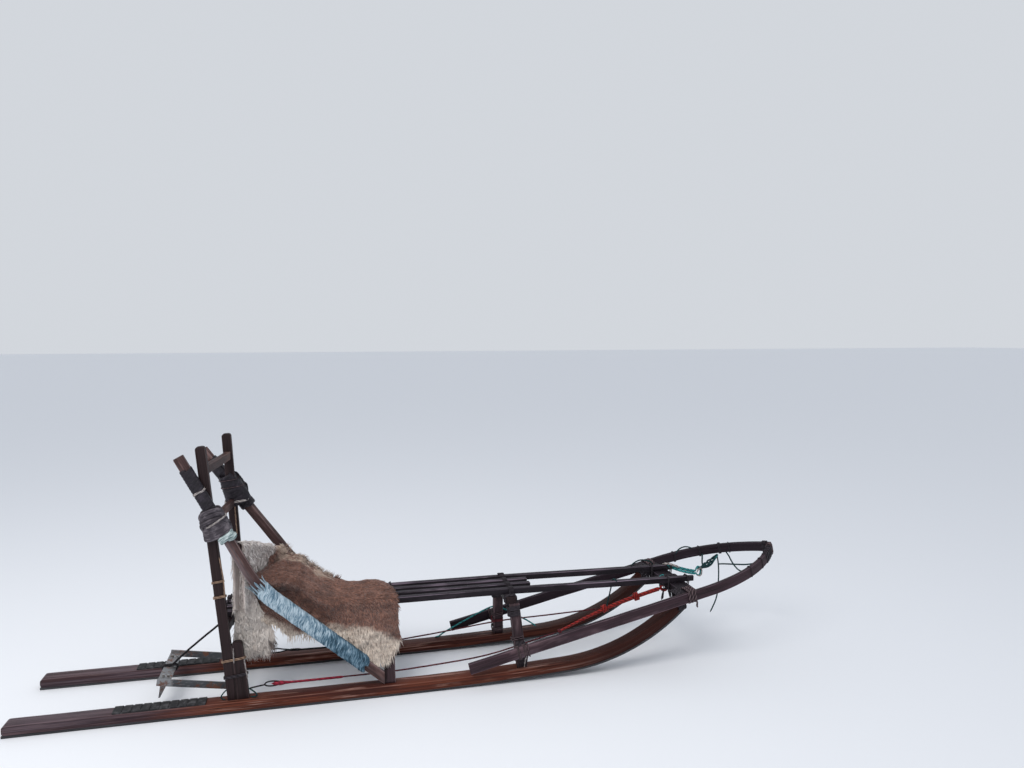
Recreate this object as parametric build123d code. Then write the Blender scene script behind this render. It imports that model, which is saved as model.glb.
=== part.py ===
from build123d import *
import math
import os

# A wooden basket sled for a dog team: two broad runners that curl up at the nose, lashed
# stanchions, a slatted bed, a pointed brush bow of two bent strips, tall rear posts with
# a handle, long bent struts, a hide seat cover, a tow bridle and a sprung claw brake.
# Millimetres. +X is forward, +Y is the sled's left, +Z is up. The runners' undersides lie
# on z = 0 and the origin is midway between the tails and the bow's tip.

# Lengths along the sled, from tail to tip
tail_overhang = 798.0
rear_bay = 608.0
front_bay = 542.0
bow_reach = 1330.0
rocker_lead = 42.0
rocker_length = 710.0
nose_board_reach = 778.0
runner_reach = 750.0
right_rail_reach = 862.0
left_rail_reach = 838.0
bow_arc_reach = 860.0
slat_reach = 95.0

# Runners
gauge = 405.0
runner_width = 70.0
runner_thickness = 35.0
sole_thickness = 8.0
rocker_radius = 12500.0
nose_radius = 870.0
tail_round = 14.0

# Foot pads on the runners behind the posts
pad_length = 330.0
pad_width = 58.0
pad_thickness = 6.0
pad_front_gap = 80.0
pad_rib_count = 10
pad_groove_width = 6.0
pad_groove_depth = 2.5

# Posts, stanchions and the crossbars that tie them. The handle has racked with use, so
# the two posts stand and lean a little differently.
post_height = 1040.0
post_width = 38.0
post_thickness = 30.0
right_post_lean = 97.0
left_post_lean = 63.0
left_post_ahead = 14.0
post_top_round = 12.0
rear_stanchion_height = 272.0
rear_stanchion_width = 42.0
rear_stanchion_top_round = 16.0
stanchion_width = 44.0
stanchion_thickness = 28.0
stanchion_inset = 76.0
right_front_ahead = 18.0
right_front_rake = -20.0
left_front_rake = -16.0
front_crossbar_back = 16.0
crossbar_depth = 44.0
crossbar_thickness = 30.0
crossbar_overhang = 1.0
handlebar_drop = 95.0
handlebar_tall = 34.0
handlebar_thick = 24.0
lower_bar_drop = 300.0
lower_bar_tall = 30.0
lower_bar_thick = 22.0
right_backrest_drop = 95.0
left_backrest_drop = 240.0
backrest_bar_tall = 28.0
backrest_bar_thick = 20.0

# Slatted bed
bed_height = 335.0
slat_width = 30.0
slat_thickness = 25.0
rail_offset = 92.0
slat_offset = 30.0
rail_taper_length = 110.0
rail_tip_width = 12.0
slat_end_round = 10.0

# Board across the runners' tips
nose_board_width = 80.0
nose_board_thickness = 35.0
nose_board_bottom = 290.0
nose_board_end_gap = 0.5
nose_board_end_round = 26.0

# Brush bow, two flat strips in one sloping plane
bow_slope = 12.7
bow_rear_reach = -220.0
bow_rear_height = 83.0
bow_strip_height = 45.0
bow_strip_thickness = 19.0
bow_lashing_length = 62.0
bow_lashing_thickness = 5.0
bow_runner_clearance = 0.5

# Bent struts, which butt on the middle stanchions' feet and splay out from there to pass
# outside the posts. Each has its own bend.
strut_width = 40.0
strut_thickness = 24.0
right_strut_foot_back = -3.5
right_strut_knee_back = 502.0
right_strut_knee_height = 480.0
right_strut_top_back = 172.0
right_strut_top_drop = 35.0
left_strut_foot_back = 2.0
left_strut_knee_back = 413.0
left_strut_knee_height = 492.0
left_strut_top_back = 151.0
left_strut_top_drop = 70.0
strut_bend_radius = 420.0
strut_wrap_thickness = 12.0
strut_wrap_length = 525.0
strut_wrap_start = 194.0
right_binding_above_bar = 5.0
right_binding_length = 84.0
left_binding_above_bar = 62.0
left_binding_length = 130.0
binding_thickness = 4.0
binding_margin = 6.0

# Claw brake between the runners
brake_pivot_height = 70.0
brake_axle_radius = 6.0
brake_pin_clearance = 0.3
brake_eye_radius = 15.0
brake_arm_length = 290.0
brake_arm_tall = 26.0
brake_arm_thick = 8.0
brake_arm_offset = 146.0
brake_rest_angle = 9.0
brake_bar_depth = 46.0
brake_bar_thickness = 8.0
claw_length = 84.0
claw_width = 34.0
claw_thickness = 8.0
claw_offset = 84.0
claw_tip_width = 6.0

# Tow lines. Each route's points are (ahead of the front stanchion, to the left, height).
bridle_diameter = 9.0
bridle_bend = 700.0
bridle_foot_height = 74.0
bridle_foot_inset = 12.0
shock_cord_diameter = 16.0
shock_cord_bend = 900.0
shock_cord_route = [(225.0, -45.0, 124.0), (499.0, -20.0, 206.0)]
tow_knot_size = 34.0
right_bridle_route = [(-542.0, -158.5, 68.0), (-130.0, -150.0, 90.0)]
left_bridle_route = [(-542.0, 158.5, 70.0), (0.0, 150.0, 128.0)]
left_bridle_join = 0.45

# Hides over the bed and the backrest. The points of their side views are (ahead of the
# middle stanchion, above the bed), and of the back flap (ahead of the bar, above the bed).
hide_gap = 0.3
hide_thickness = 16.0
hide_side_gap = 2.0
hide_shoulder = 190.0
hide_flap_thickness = 8.0
back_hide_roll = 8.0
back_hide_right = 200.0
back_hide_left = 100.0
seat_back_top = 177.0
seat_slope = [(-420.0, 173.0), (-355.0, 157.0), (-308.0, 109.0), (-217.0, 59.0)]
seat_over_bed = [(-217.0, 59.0), (-150.0, 51.0), (-15.0, 47.0), (46.0, 35.0)]
seat_flap = [
    (44.0, -142.0), (17.0, -158.0), (11.0, -185.0), (-10.0, -209.0), (-41.0, -221.0),
    (-70.0, -213.0), (-85.0, -189.0), (-135.0, -145.0), (-159.0, -115.0), (-207.0, -50.0),
]
back_flap = [(-29.0, -77.0), (19.0, -142.0), (60.0, -179.0), (75.0, -135.0), (60.0, -65.0)]

half_length = (tail_overhang + rear_bay + front_bay + bow_reach) / 2
tail_x = -half_length
rear_x = tail_x + tail_overhang
middle_x = rear_x + rear_bay
front_x = middle_x + front_bay
tip_x = front_x + bow_reach
runner_y = gauge / 2
deck_z = sole_thickness + runner_thickness
rocker_x = middle_x + rocker_lead
rocker_angle = math.asin(rocker_length / rocker_radius)
nose_x = rocker_x + rocker_length
nose_z = rocker_radius * (1 - math.cos(rocker_angle))
runner_tip_x = front_x + runner_reach
nose_center_x = nose_x - nose_radius * math.sin(rocker_angle)
nose_center_z = nose_z + nose_radius * math.cos(rocker_angle)
post_inner_y = runner_y - post_thickness / 2
post_outer_y = runner_y + post_thickness / 2
strut_y = post_outer_y + strut_thickness / 2
rail_drop = bed_height - nose_board_bottom - nose_board_thickness
handlebar_height = post_height - handlebar_drop
lower_bar_height = post_height - lower_bar_drop
right_backrest_height = lower_bar_height - right_backrest_drop
left_backrest_height = lower_bar_height - left_backrest_drop
stanchion_start = deck_z - runner_thickness / 2
stanchion_rise = bed_height - crossbar_thickness - stanchion_start
crossbar_half = runner_y - stanchion_inset + stanchion_thickness / 2 + crossbar_overhang

PARTS = {}


def keep(name, shape):
    PARTS[name] = shape


def keep_pair(name, right_shape):
    PARTS[name + "_right"] = right_shape
    PARTS[name + "_left"] = mirror(right_shape, about=Plane.XZ)


def side_face(points):
    # A flat outline in the sled's side view, drawn as (x, z) corners.
    wire = Polyline(*[(x, 0, z) for x, z in points], close=True)
    return make_face(wire)


def across(face, y_from, y_to):
    # The outline at y = 0 becomes a solid between two distances across the sled.
    moved = Pos(0, y_from, 0) * face
    return extrude(moved, amount=abs(y_to - y_from), dir=(0, 1 if y_to > y_from else -1, 0))


def box(x_range, y_range, z_range):
    size = [high - low for low, high in (x_range, y_range, z_range)]
    center = [(high + low) / 2 for low, high in (x_range, y_range, z_range)]
    return Pos(*center) * Box(*size)


def runner_curve(offset):
    # The underside's line, moved up by offset: flat, then the long rocker, then the nose.
    rocker_r = rocker_radius - offset
    nose_r = nose_radius - offset
    tip = math.asin((runner_tip_x - nose_center_x) / nose_r)
    rocker_points = [
        (rocker_x + rocker_r * math.sin(a), 0, rocker_radius - rocker_r * math.cos(a))
        for a in (0, rocker_angle / 2, rocker_angle)
    ]
    nose_points = [
        (nose_center_x + nose_r * math.sin(a), 0, nose_center_z - nose_r * math.cos(a))
        for a in (rocker_angle, (rocker_angle + tip) / 2, tip)
    ]
    return rocker_points, nose_points


def runner_strip(low, high, width):
    # One layer of a runner, between two offsets above the underside.
    low_rocker, low_nose = runner_curve(low)
    high_rocker, high_nose = runner_curve(high)
    edges = [
        Line((tail_x, 0, low), low_rocker[0]),
        ThreePointArc(*low_rocker),
        ThreePointArc(*low_nose),
        Line(low_nose[2], high_nose[2]),
        ThreePointArc(*high_nose),
        ThreePointArc(*high_rocker),
        Line(high_rocker[0], (tail_x, 0, high)),
        Line((tail_x, 0, high), (tail_x, 0, low)),
    ]
    face = make_face(edges)
    return across(face, -runner_y - width / 2, -runner_y + width / 2)


def make_runners():
    above_board = box(
        (front_x, front_x + bow_reach), (-gauge, gauge),
        (nose_board_bottom, post_height),
    )
    wood = runner_strip(sole_thickness, deck_z, runner_width) - above_board
    tail_edges = wood.edges().filter_by(Axis.Y).sort_by(Axis.X)[:2].sort_by(Axis.Z)
    wood = fillet(tail_edges[-1], tail_round)
    keep_pair("runner", wood)
    # The sliding sole is in two lengths, which meet where the rocker begins.
    flat = box(
        (tail_x, rocker_x), (-runner_y - runner_width / 2, -runner_y + runner_width / 2),
        (0, sole_thickness),
    )
    keep_pair("runner_sole", flat)
    keep_pair("nose_sole", runner_strip(0, sole_thickness, runner_width) - flat)


def make_foot_pads():
    front = rear_x - post_width / 2 - pad_front_gap
    low_y = -runner_y - pad_width / 2
    high_y = -runner_y + pad_width / 2
    top = deck_z + pad_thickness
    pad = box((front - pad_length, front), (low_y, high_y), (deck_z, top))
    pitch = pad_length / pad_rib_count
    for index in range(1, pad_rib_count):
        groove_x = front - index * pitch
        pad -= box(
            (groove_x - pad_groove_width / 2, groove_x + pad_groove_width / 2),
            (low_y, high_y), (top - pad_groove_depth, top),
        )
    keep_pair("foot_pad", pad)


def post_center_x(side, height):
    # The posts lean back from their feet on the runners.
    lean = right_post_lean if side == "right" else left_post_lean
    foot = rear_x if side == "right" else rear_x + left_post_ahead
    return foot - lean * (height - deck_z) / (post_height - deck_z)


def make_posts():
    half = post_width / 2
    for side, sign in (("right", -1), ("left", 1)):
        foot = post_center_x(side, deck_z)
        head = post_center_x(side, post_height)
        outline = side_face([
            (foot - half, deck_z), (foot + half, deck_z),
            (head + half, post_height), (head - half, post_height),
        ])
        post = across(outline, sign * post_inner_y, sign * post_outer_y)
        top_edges = post.edges().filter_by(Axis.Y).sort_by(Axis.Z)[-2:]
        keep("rear_post_" + side, fillet(top_edges, post_top_round))

        front = foot + half
        lean = foot - post_center_x(side, rear_stanchion_height)
        outline = side_face([
            (front, deck_z), (front + rear_stanchion_width, deck_z),
            (front + rear_stanchion_width - lean, rear_stanchion_height),
            (front - lean, rear_stanchion_height),
        ])
        stanchion = across(outline, sign * post_inner_y, sign * post_outer_y)
        top_edges = stanchion.edges().filter_by(Axis.Y).sort_by(Axis.Z)[-2:]
        keep("rear_stanchion_" + side, fillet(top_edges, rear_stanchion_top_round))


def make_stanchions():
    # Name, side, sign, place along the sled, rake of its head along the sled
    table = [
        ("middle", "right", -1, middle_x, 0.0),
        ("middle", "left", 1, middle_x, 0.0),
        ("front", "right", -1, front_x + right_front_ahead, right_front_rake),
        ("front", "left", 1, front_x, left_front_rake),
    ]
    for name, side, sign, x, rake in table:
        rise = Vector(rake, -sign * stanchion_inset, stanchion_rise)
        foot = Pos(x, sign * runner_y, stanchion_start) * Rectangle(
            stanchion_width, stanchion_thickness,
        )
        shaft = extrude(foot, amount=rise.length, dir=rise.normalized())
        shaft -= PARTS["runner_" + side]
        keep(name + "_stanchion_" + side, shaft.solids().sort_by(Axis.Z)[-1])
    for name, x in (("middle", middle_x), ("front", front_x - front_crossbar_back)):
        keep(name + "_crossbar", box(
            (x - crossbar_depth / 2, x + crossbar_depth / 2), (-crossbar_half, crossbar_half),
            (bed_height - crossbar_thickness, bed_height),
        ))


def spanning(outline, right, left, half_span):
    # A bar's or hide's outline, drawn round its own centre line, runs from a point
    # (x, z) on the right to one on the left, which may lie further forward or lower.
    start = Vector(right[0], -half_span, right[1])
    way = Vector(left[0], half_span, left[1]) - start
    moved = Pos(*start) * side_face(outline)
    return extrude(moved, amount=way.length, dir=way.normalized())


def bar_outline(thick, tall):
    x, z = thick / 2, tall / 2
    return [(-x, -z), (x, -z), (x, z), (-x, z)]


def make_post_crossbars():
    # Name, height of the centre line, height and thickness of the section
    table = [
        ("rear_crossbar", bed_height - crossbar_thickness / 2, crossbar_thickness, post_width),
        ("lower_handle_bar", lower_bar_height, lower_bar_tall, lower_bar_thick),
        ("handlebar", handlebar_height, handlebar_tall, handlebar_thick),
    ]
    for name, height, tall, thick in table:
        right, left = ((post_center_x(side, height), height) for side in ("right", "left"))
        keep(name, spanning(bar_outline(thick, tall), right, left, post_inner_y))


def make_bed():
    rear = post_center_x("right", bed_height) - post_width / 2
    half = slat_width / 2
    # The rails are level over the crossbars and dip from there on to the nose board.
    dip_x = front_x - front_crossbar_back + crossbar_depth / 2
    dip = rail_drop / (front_x + nose_board_reach + nose_board_width / 2 - dip_x)
    for side, sign, reach in (("right", -1, right_rail_reach), ("left", 1, left_rail_reach)):
        front = front_x + reach
        plan = Polyline(
            (rear, -half), (front - rail_taper_length, -half), (front, -rail_tip_width / 2),
            (front, rail_tip_width / 2), (front - rail_taper_length, half), (rear, half),
            close=True,
        )
        low = bed_height - dip * (front - dip_x)
        side_view = side_face([
            (rear, bed_height), (dip_x, bed_height), (front, low), (front, low + slat_thickness),
            (dip_x, bed_height + slat_thickness), (rear, bed_height + slat_thickness),
        ])
        rail = Pos(0, 0, nose_board_bottom) * extrude(make_face(plan), post_height)
        rail &= across(side_view, -half, half)
        keep("bed_rail_" + side, Pos(0, sign * rail_offset, 0) * rail)
    slat = box(
        (rear, front_x + slat_reach), (-slat_offset - half, -slat_offset + half),
        (bed_height, bed_height + slat_thickness),
    )
    front_edges = slat.edges().filter_by(Axis.Z).sort_by(Axis.X)[-2:]
    keep_pair("bed_slat", fillet(front_edges, slat_end_round))


def make_nose_board():
    x = front_x + nose_board_reach
    half = runner_y + runner_width / 2 + bow_runner_clearance - nose_board_end_gap
    board = box(
        (x - nose_board_width / 2, x + nose_board_width / 2), (-half, half),
        (nose_board_bottom, nose_board_bottom + nose_board_thickness),
    )
    board = fillet(board.edges().filter_by(Axis.Z), nose_board_end_round)
    keep("nose_board", board)


def make_bow():
    # Each strip is drawn in the bow's own sloping plane: along it, and out to the side.
    slope = math.radians(bow_slope)
    plane = Plane(
        origin=(front_x + bow_rear_reach, 0, bow_rear_height),
        x_dir=(math.cos(slope), 0, math.sin(slope)),
        z_dir=(-math.sin(slope), 0, math.cos(slope)),
    )
    arc_u = (bow_arc_reach - bow_rear_reach) / math.cos(slope)
    tip_u = (bow_reach - bow_strip_height / 2 * math.sin(slope) - bow_rear_reach) / math.cos(slope)
    inner_v = runner_y + runner_width / 2 + bow_runner_clearance
    outer_v = inner_v + bow_strip_thickness
    # The outer face turns in from the straight part and meets the middle at the tip.
    turn = 2 * math.atan(outer_v / (tip_u - arc_u))
    outer = (tip_u - arc_u) / math.sin(turn)
    center_v = outer_v - outer
    inner = outer - bow_strip_thickness
    past = turn + bow_strip_thickness / inner

    def on_arc(angle, radius):
        return (arc_u + radius * math.sin(angle), center_v + radius * math.cos(angle))

    edges = [
        Line((0, inner_v), on_arc(0, inner)),
        ThreePointArc(on_arc(0, inner), on_arc(past / 2, inner), on_arc(past, inner)),
        Line(on_arc(past, inner), on_arc(past, outer)),
        ThreePointArc(on_arc(past, outer), on_arc(past / 2, outer), on_arc(0, outer)),
        Line(on_arc(0, outer), (0, outer_v)),
        Line((0, outer_v), (0, inner_v)),
    ]
    strip = plane * extrude(make_face(edges), bow_strip_height / 2, both=True)
    strip -= box((0, 2 * tip_x), (-gauge, 0), (0, post_height))
    strip = strip.solids().sort_by(SortBy.VOLUME)[-1]
    PARTS["bow_arm_left"] = strip
    PARTS["bow_arm_right"] = mirror(strip, about=Plane.XZ)

    # Cord wound round each arm and the front stanchion beside it, over a wooden chock.
    half = bow_lashing_length / 2
    rise = bow_strip_height / 2 / math.cos(slope) + bow_lashing_thickness
    inner_y = runner_y - stanchion_inset / 2
    for side, sign, x in (("right", -1, front_x + right_front_ahead), ("left", 1, front_x)):
        middle_z = bow_rear_height + (x - front_x - bow_rear_reach) * math.tan(slope)
        fall = half * math.tan(slope)
        outline = side_face([
            (x - half, middle_z - fall - rise), (x + half, middle_z + fall - rise),
            (x + half, middle_z + fall + rise), (x - half, middle_z - fall + rise),
        ])
        band = across(outline, sign * inner_y, sign * (outer_v + bow_lashing_thickness))
        for name in ("bow_arm_" + side, "front_stanchion_" + side, "runner_" + side):
            band -= PARTS[name]
        keep("bow_lashing_" + side, band.solids().sort_by(SortBy.VOLUME)[-1])


def strut_points(side):
    if side == "right":
        foot = (middle_x - right_strut_foot_back, deck_z)
        knee = (middle_x - right_strut_knee_back, right_strut_knee_height)
        head = (rear_x - right_strut_top_back, post_height - right_strut_top_drop)
    else:
        foot = (middle_x - left_strut_foot_back, deck_z)
        knee = (middle_x - left_strut_knee_back, left_strut_knee_height)
        head = (rear_x - left_strut_top_back, post_height - left_strut_top_drop)
    return foot, knee, head


def strut_slope(low, high):
    return math.atan2(high[1] - low[1], low[0] - high[0])


def strut_center_x(side, height):
    foot, knee, head = strut_points(side)
    low, high = (knee, head) if height > knee[1] else (foot, knee)
    return low[0] + (high[0] - low[0]) * (height - low[1]) / (high[1] - low[1])


def strut_path(side, sign):
    # The centre line starts a little below the runner's deck and is cut off there.
    foot, knee, head = strut_points(side)
    foot = Vector(foot[0], sign * runner_y, foot[1])
    knee = Vector(knee[0], sign * strut_y, knee[1])
    start = foot + (foot - knee) * (strut_width / (knee.Z - foot.Z))
    return FilletPolyline(start, knee, (head[0], sign * strut_y, head[1]), radius=strut_bend_radius)


def strut_section(path, outline):
    return sweep(Plane(origin=path @ 0, z_dir=path % 0, x_dir=(0, 1, 0)) * outline, path=path)


def make_struts():
    below = box((tail_x, tip_x), (-gauge, gauge), (-gauge, deck_z))
    ahead = box((middle_x - stanchion_width / 2, tip_x), (-gauge, gauge), (-gauge, bed_height))
    core = Rectangle(strut_thickness, strut_width)
    for side, sign in (("right", -1), ("left", 1)):
        strut = strut_section(strut_path(side, sign), core)
        # It is shaved flat where it lies against the post.
        keep("handle_strut_" + side, strut - below - ahead - PARTS["rear_post_" + side])

    # The cloth rope wound round the right strut, as one sleeve along its bend.
    sleeve = RectangleRounded(
        strut_thickness + 2 * strut_wrap_thickness, strut_width + 2 * strut_wrap_thickness,
        strut_wrap_thickness,
    )
    path = strut_path("right", -1)
    wrap = strut_section(path, sleeve - core)
    for distance, side_kept in (
        (strut_wrap_start, Keep.TOP), (strut_wrap_start + strut_wrap_length, Keep.BOTTOM),
    ):
        end = Plane(
            origin=path.position_at(distance, position_mode=PositionMode.LENGTH),
            z_dir=path.tangent_at(distance, position_mode=PositionMode.LENGTH),
        )
        wrap = split(wrap, bisect_by=end, keep=side_kept)
    keep("strut_wrap", wrap)

    # The bar that the back hide hangs over, let in between the struts.
    right = (strut_center_x("right", right_backrest_height), right_backrest_height)
    left = (strut_center_x("left", left_backrest_height), left_backrest_height)
    outline = bar_outline(backrest_bar_thick, backrest_bar_tall)
    bar = spanning(outline, right, left, strut_y - strut_thickness / 2)
    keep("backrest_bar", bar - PARTS["handle_strut_right"] - PARTS["handle_strut_left"])
    return right, left


def make_bindings():
    # Tape and cord wound round each post and strut, over the end of the lower bar.
    # Side, sign, middle above the lower bar, length up the post
    table = [
        ("right", -1, right_binding_above_bar, right_binding_length),
        ("left", 1, left_binding_above_bar, left_binding_length),
    ]
    for side, sign, above_bar, length in table:
        knee, head = strut_points(side)[1:]
        reach = strut_width / 2 / math.sin(strut_slope(knee, head)) + binding_margin
        corners = []
        for z in (lower_bar_height + above_bar + end * length / 2 for end in (-1, 1)):
            centers = (strut_center_x(side, z), post_center_x(side, z))
            corners.append([(min(centers) - reach, z), (max(centers) + reach, z)])
        outline = side_face([corners[0][0], corners[0][1], corners[1][1], corners[1][0]])
        block = across(
            outline, sign * (post_inner_y - binding_thickness),
            sign * (strut_y + strut_thickness / 2 + binding_thickness),
        )
        for name in ("rear_post_" + side, "handle_strut_" + side, "lower_handle_bar"):
            block -= PARTS[name]
        keep("handle_binding_" + side, block.solids().sort_by(SortBy.VOLUME)[-1])


def make_hides(bar_right, bar_left):
    floor = bed_height + slat_thickness + hide_gap
    strut_inner = strut_y - strut_thickness / 2
    half_bar = backrest_bar_thick / 2 + hide_gap
    outer = half_bar + hide_thickness
    flap_inner = crossbar_half + hide_side_gap
    flap_outer = flap_inner + hide_flap_thickness

    # The back hide: front sheet, roll over the bar and rear sheet.
    over = backrest_bar_tall / 2 + hide_gap
    top = over + hide_thickness
    low = floor - bar_left[1]
    hide = spanning([
        (half_bar, low), (outer, low), (outer, top - back_hide_roll), (outer - back_hide_roll, top),
        (back_hide_roll - outer, top), (-outer, top - back_hide_roll), (-outer, low),
        (-half_bar, low), (-half_bar, over), (half_bar, over),
    ], bar_right, bar_left, strut_inner)
    hide &= box((tail_x, tip_x), (-back_hide_right, back_hide_left), (0, 2 * post_height))
    # Its flap hangs down on the right, inside the strut and the post.
    share = (strut_inner - flap_outer) / (2 * strut_inner)
    at = bar_right[0] + share * (bar_left[0] - bar_right[0])
    high = bar_right[1] + share * (bar_left[1] - bar_right[1])
    flap = [(at + x, bed_height + z) for x, z in back_flap]
    flap_top = bed_height + seat_flap[-1][1]
    flap += [(at + outer, flap_top), (at + outer, high), (at - outer, high)]
    hide += across(side_face(flap), -flap_inner, -flap_outer)
    for name in ("backrest_bar", "rear_crossbar", "bed_rail_right", "bed_rail_left"):
        hide -= PARTS[name]
    keep("back_hide", hide.solids().sort_by(SortBy.VOLUME)[-1])

    # The seat hide: up the slope to the back hide, over the bed, and a flap at each side.
    back = bar_right[0]
    slope = [(back, bed_height + seat_back_top)]
    slope += [(middle_x + x, bed_height + z) for x, z in seat_slope]
    slope += [(slope[-1][0], floor), (back, floor)]
    seat = across(side_face(slope), -hide_shoulder, hide_shoulder)
    bed_part = [(middle_x + x, bed_height + z) for x, z in seat_over_bed]
    bed_part += [(bed_part[-1][0], floor), (bed_part[0][0], floor)]
    seat += across(side_face(bed_part), -flap_outer, flap_outer)
    # The flaps hang outside the stanchions, which lean inwards, and inside the struts.
    lean = math.degrees(math.atan(stanchion_inset / stanchion_rise))
    front = middle_x + seat_over_bed[-1][0]
    flap = [(back, floor + hide_thickness), (front, floor + hide_thickness)]
    flap += [(middle_x + x, bed_height + z) for x, z in seat_flap] + [(back, flap_top)]
    for side in (-1, 1):
        hinge = Pos(0, side * flap_inner, bed_height)
        leaning = hinge * Rot(side * lean, 0, 0) * Pos(0, -side * flap_inner, -bed_height)
        seat += leaning * across(side_face(flap), side * flap_inner, side * flap_outer)
    edge = outer + hide_gap
    behind = [(edge, -post_height), (edge, post_height), (-gauge, post_height), (-gauge, -post_height)]
    seat -= spanning(behind, bar_right, bar_left, strut_inner)
    for name in ("strut_wrap", "handle_strut_right", "handle_strut_left"):
        seat -= PARTS[name]
    keep("seat_hide", seat.solids().sort_by(SortBy.VOLUME)[-1])


def make_brake():
    pivot = (rear_x, brake_pivot_height)
    keep("brake_axle", Pos(rear_x, 0, brake_pivot_height) * Rot(90, 0, 0) * Cylinder(
        brake_axle_radius, 2 * post_inner_y,
    ))
    # Drawn level behind the pivot, then raised to its parked angle.
    low_y = brake_arm_offset - brake_arm_thick / 2
    frame = None
    end_x = pivot[0] - brake_arm_length
    for side in (-1, 1):
        y = side * brake_arm_offset
        arm = box(
            (end_x, pivot[0]), (y - brake_arm_thick / 2, y + brake_arm_thick / 2),
            (pivot[1] - brake_arm_tall / 2, pivot[1] + brake_arm_tall / 2),
        )
        eye = Pos(pivot[0], y, pivot[1]) * Rot(90, 0, 0) * Cylinder(brake_eye_radius, brake_arm_thick)
        arm += eye
        frame = arm if frame is None else frame + arm
    bar = box(
        (end_x, end_x + brake_bar_depth), (-low_y, low_y),
        (pivot[1] - brake_bar_thickness / 2, pivot[1] + brake_bar_thickness / 2),
    )
    frame += bar
    bore = Pos(pivot[0], 0, pivot[1]) * Rot(90, 0, 0) * Cylinder(
        brake_axle_radius + brake_pin_clearance, 4 * brake_arm_offset,
    )
    frame -= bore
    under = pivot[1] - brake_bar_thickness / 2
    middle = end_x + brake_bar_depth / 2
    claw_outline = [
        (middle - claw_width / 2, under), (middle + claw_width / 2, under),
        (middle - claw_width / 2 + claw_tip_width, under - claw_length),
        (middle - claw_width / 2, under - claw_length),
    ]
    claws = []
    for side in (-1, 1):
        y = side * claw_offset
        claws.append(across(side_face(claw_outline), y - claw_thickness / 2, y + claw_thickness / 2))
    raised = Pos(pivot[0], 0, pivot[1]) * Rot(0, brake_rest_angle, 0) * Pos(-pivot[0], 0, -pivot[1])
    keep("brake_frame", raised * frame)
    keep("brake_claws", Compound(children=[raised * claw for claw in claws]))


def rope(points, radius, bend):
    path = FilletPolyline(*points, radius=bend)
    section = Plane(origin=path @ 0, z_dir=path % 0) * Circle(radius)
    return sweep(section, path=path)


def make_tow_lines():
    radius = bridle_diameter / 2
    knot_x = front_x + nose_board_reach - nose_board_width / 4
    knot_z = nose_board_bottom - tow_knot_size / 2
    keep("tow_knot", Pos(knot_x, 0, knot_z) * Box(tow_knot_size, tow_knot_size, tow_knot_size))
    shock_route = [(front_x + x, y, z) for x, y, z in shock_cord_route]
    shock_route.append((knot_x - tow_knot_size / 2, 0, knot_z))
    keep("shock_cord", rope(shock_route, shock_cord_diameter / 2, shock_cord_bend))
    start, end = Vector(*shock_route[0]), Vector(*shock_route[-1])
    join = start + (end - start) * left_bridle_join
    join += Vector(0, shock_cord_diameter / 2, 0)
    # Side, sign, route, where it ends on the shock cord
    table = [
        ("right", -1, right_bridle_route, start),
        ("left", 1, left_bridle_route, join),
    ]
    for side, sign, route, last in table:
        foot_x = post_center_x(side, bridle_foot_height) + post_width / 2 + rear_stanchion_width
        points = [(foot_x, sign * (runner_y - bridle_foot_inset), bridle_foot_height)]
        points += [(front_x + x, y, z) for x, y, z in route]
        keep("bridle_" + side, rope(points + [tuple(last)], radius, bridle_bend))


def main():
    make_runners()
    make_foot_pads()
    make_posts()
    make_stanchions()
    make_post_crossbars()
    make_bed()
    make_nose_board()
    make_bow()
    bar_right, bar_left = make_struts()
    make_bindings()
    make_hides(bar_right, bar_left)
    make_brake()
    make_tow_lines()
    os.makedirs("parts", exist_ok=True)
    for name, shape in PARTS.items():
        export_step(shape, "parts/" + name + ".step")


main()
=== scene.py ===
import math

import bmesh
import bpy
import numpy as np
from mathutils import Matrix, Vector, noise


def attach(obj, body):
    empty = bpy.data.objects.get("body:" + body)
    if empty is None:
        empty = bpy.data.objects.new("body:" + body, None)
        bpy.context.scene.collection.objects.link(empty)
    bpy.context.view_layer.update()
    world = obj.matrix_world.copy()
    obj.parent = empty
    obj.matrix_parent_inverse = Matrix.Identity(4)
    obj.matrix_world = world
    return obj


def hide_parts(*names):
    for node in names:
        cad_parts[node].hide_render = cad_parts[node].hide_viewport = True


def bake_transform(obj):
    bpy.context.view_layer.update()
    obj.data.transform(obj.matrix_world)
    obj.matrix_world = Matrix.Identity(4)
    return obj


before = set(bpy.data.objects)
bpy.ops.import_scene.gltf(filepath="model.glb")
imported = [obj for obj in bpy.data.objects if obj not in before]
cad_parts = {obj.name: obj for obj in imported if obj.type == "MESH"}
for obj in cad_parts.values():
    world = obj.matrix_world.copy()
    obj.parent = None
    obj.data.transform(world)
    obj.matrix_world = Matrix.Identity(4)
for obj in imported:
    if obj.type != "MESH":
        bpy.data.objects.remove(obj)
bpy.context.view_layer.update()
dog_sled = bpy.context.scene

# Studio: a wide pale floor just under the soles, and a plain soft sky that lights the sled
# from all round, with one broad lamp over the driver's side for a gentle shadow.
# The camera stands to the sled's right and a little behind its middle, at eye height.
bpy.ops.mesh.primitive_plane_add(size=160, location=(0, 0, -0.0015))
floor = bpy.context.object
floor.name = "floor"


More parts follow.
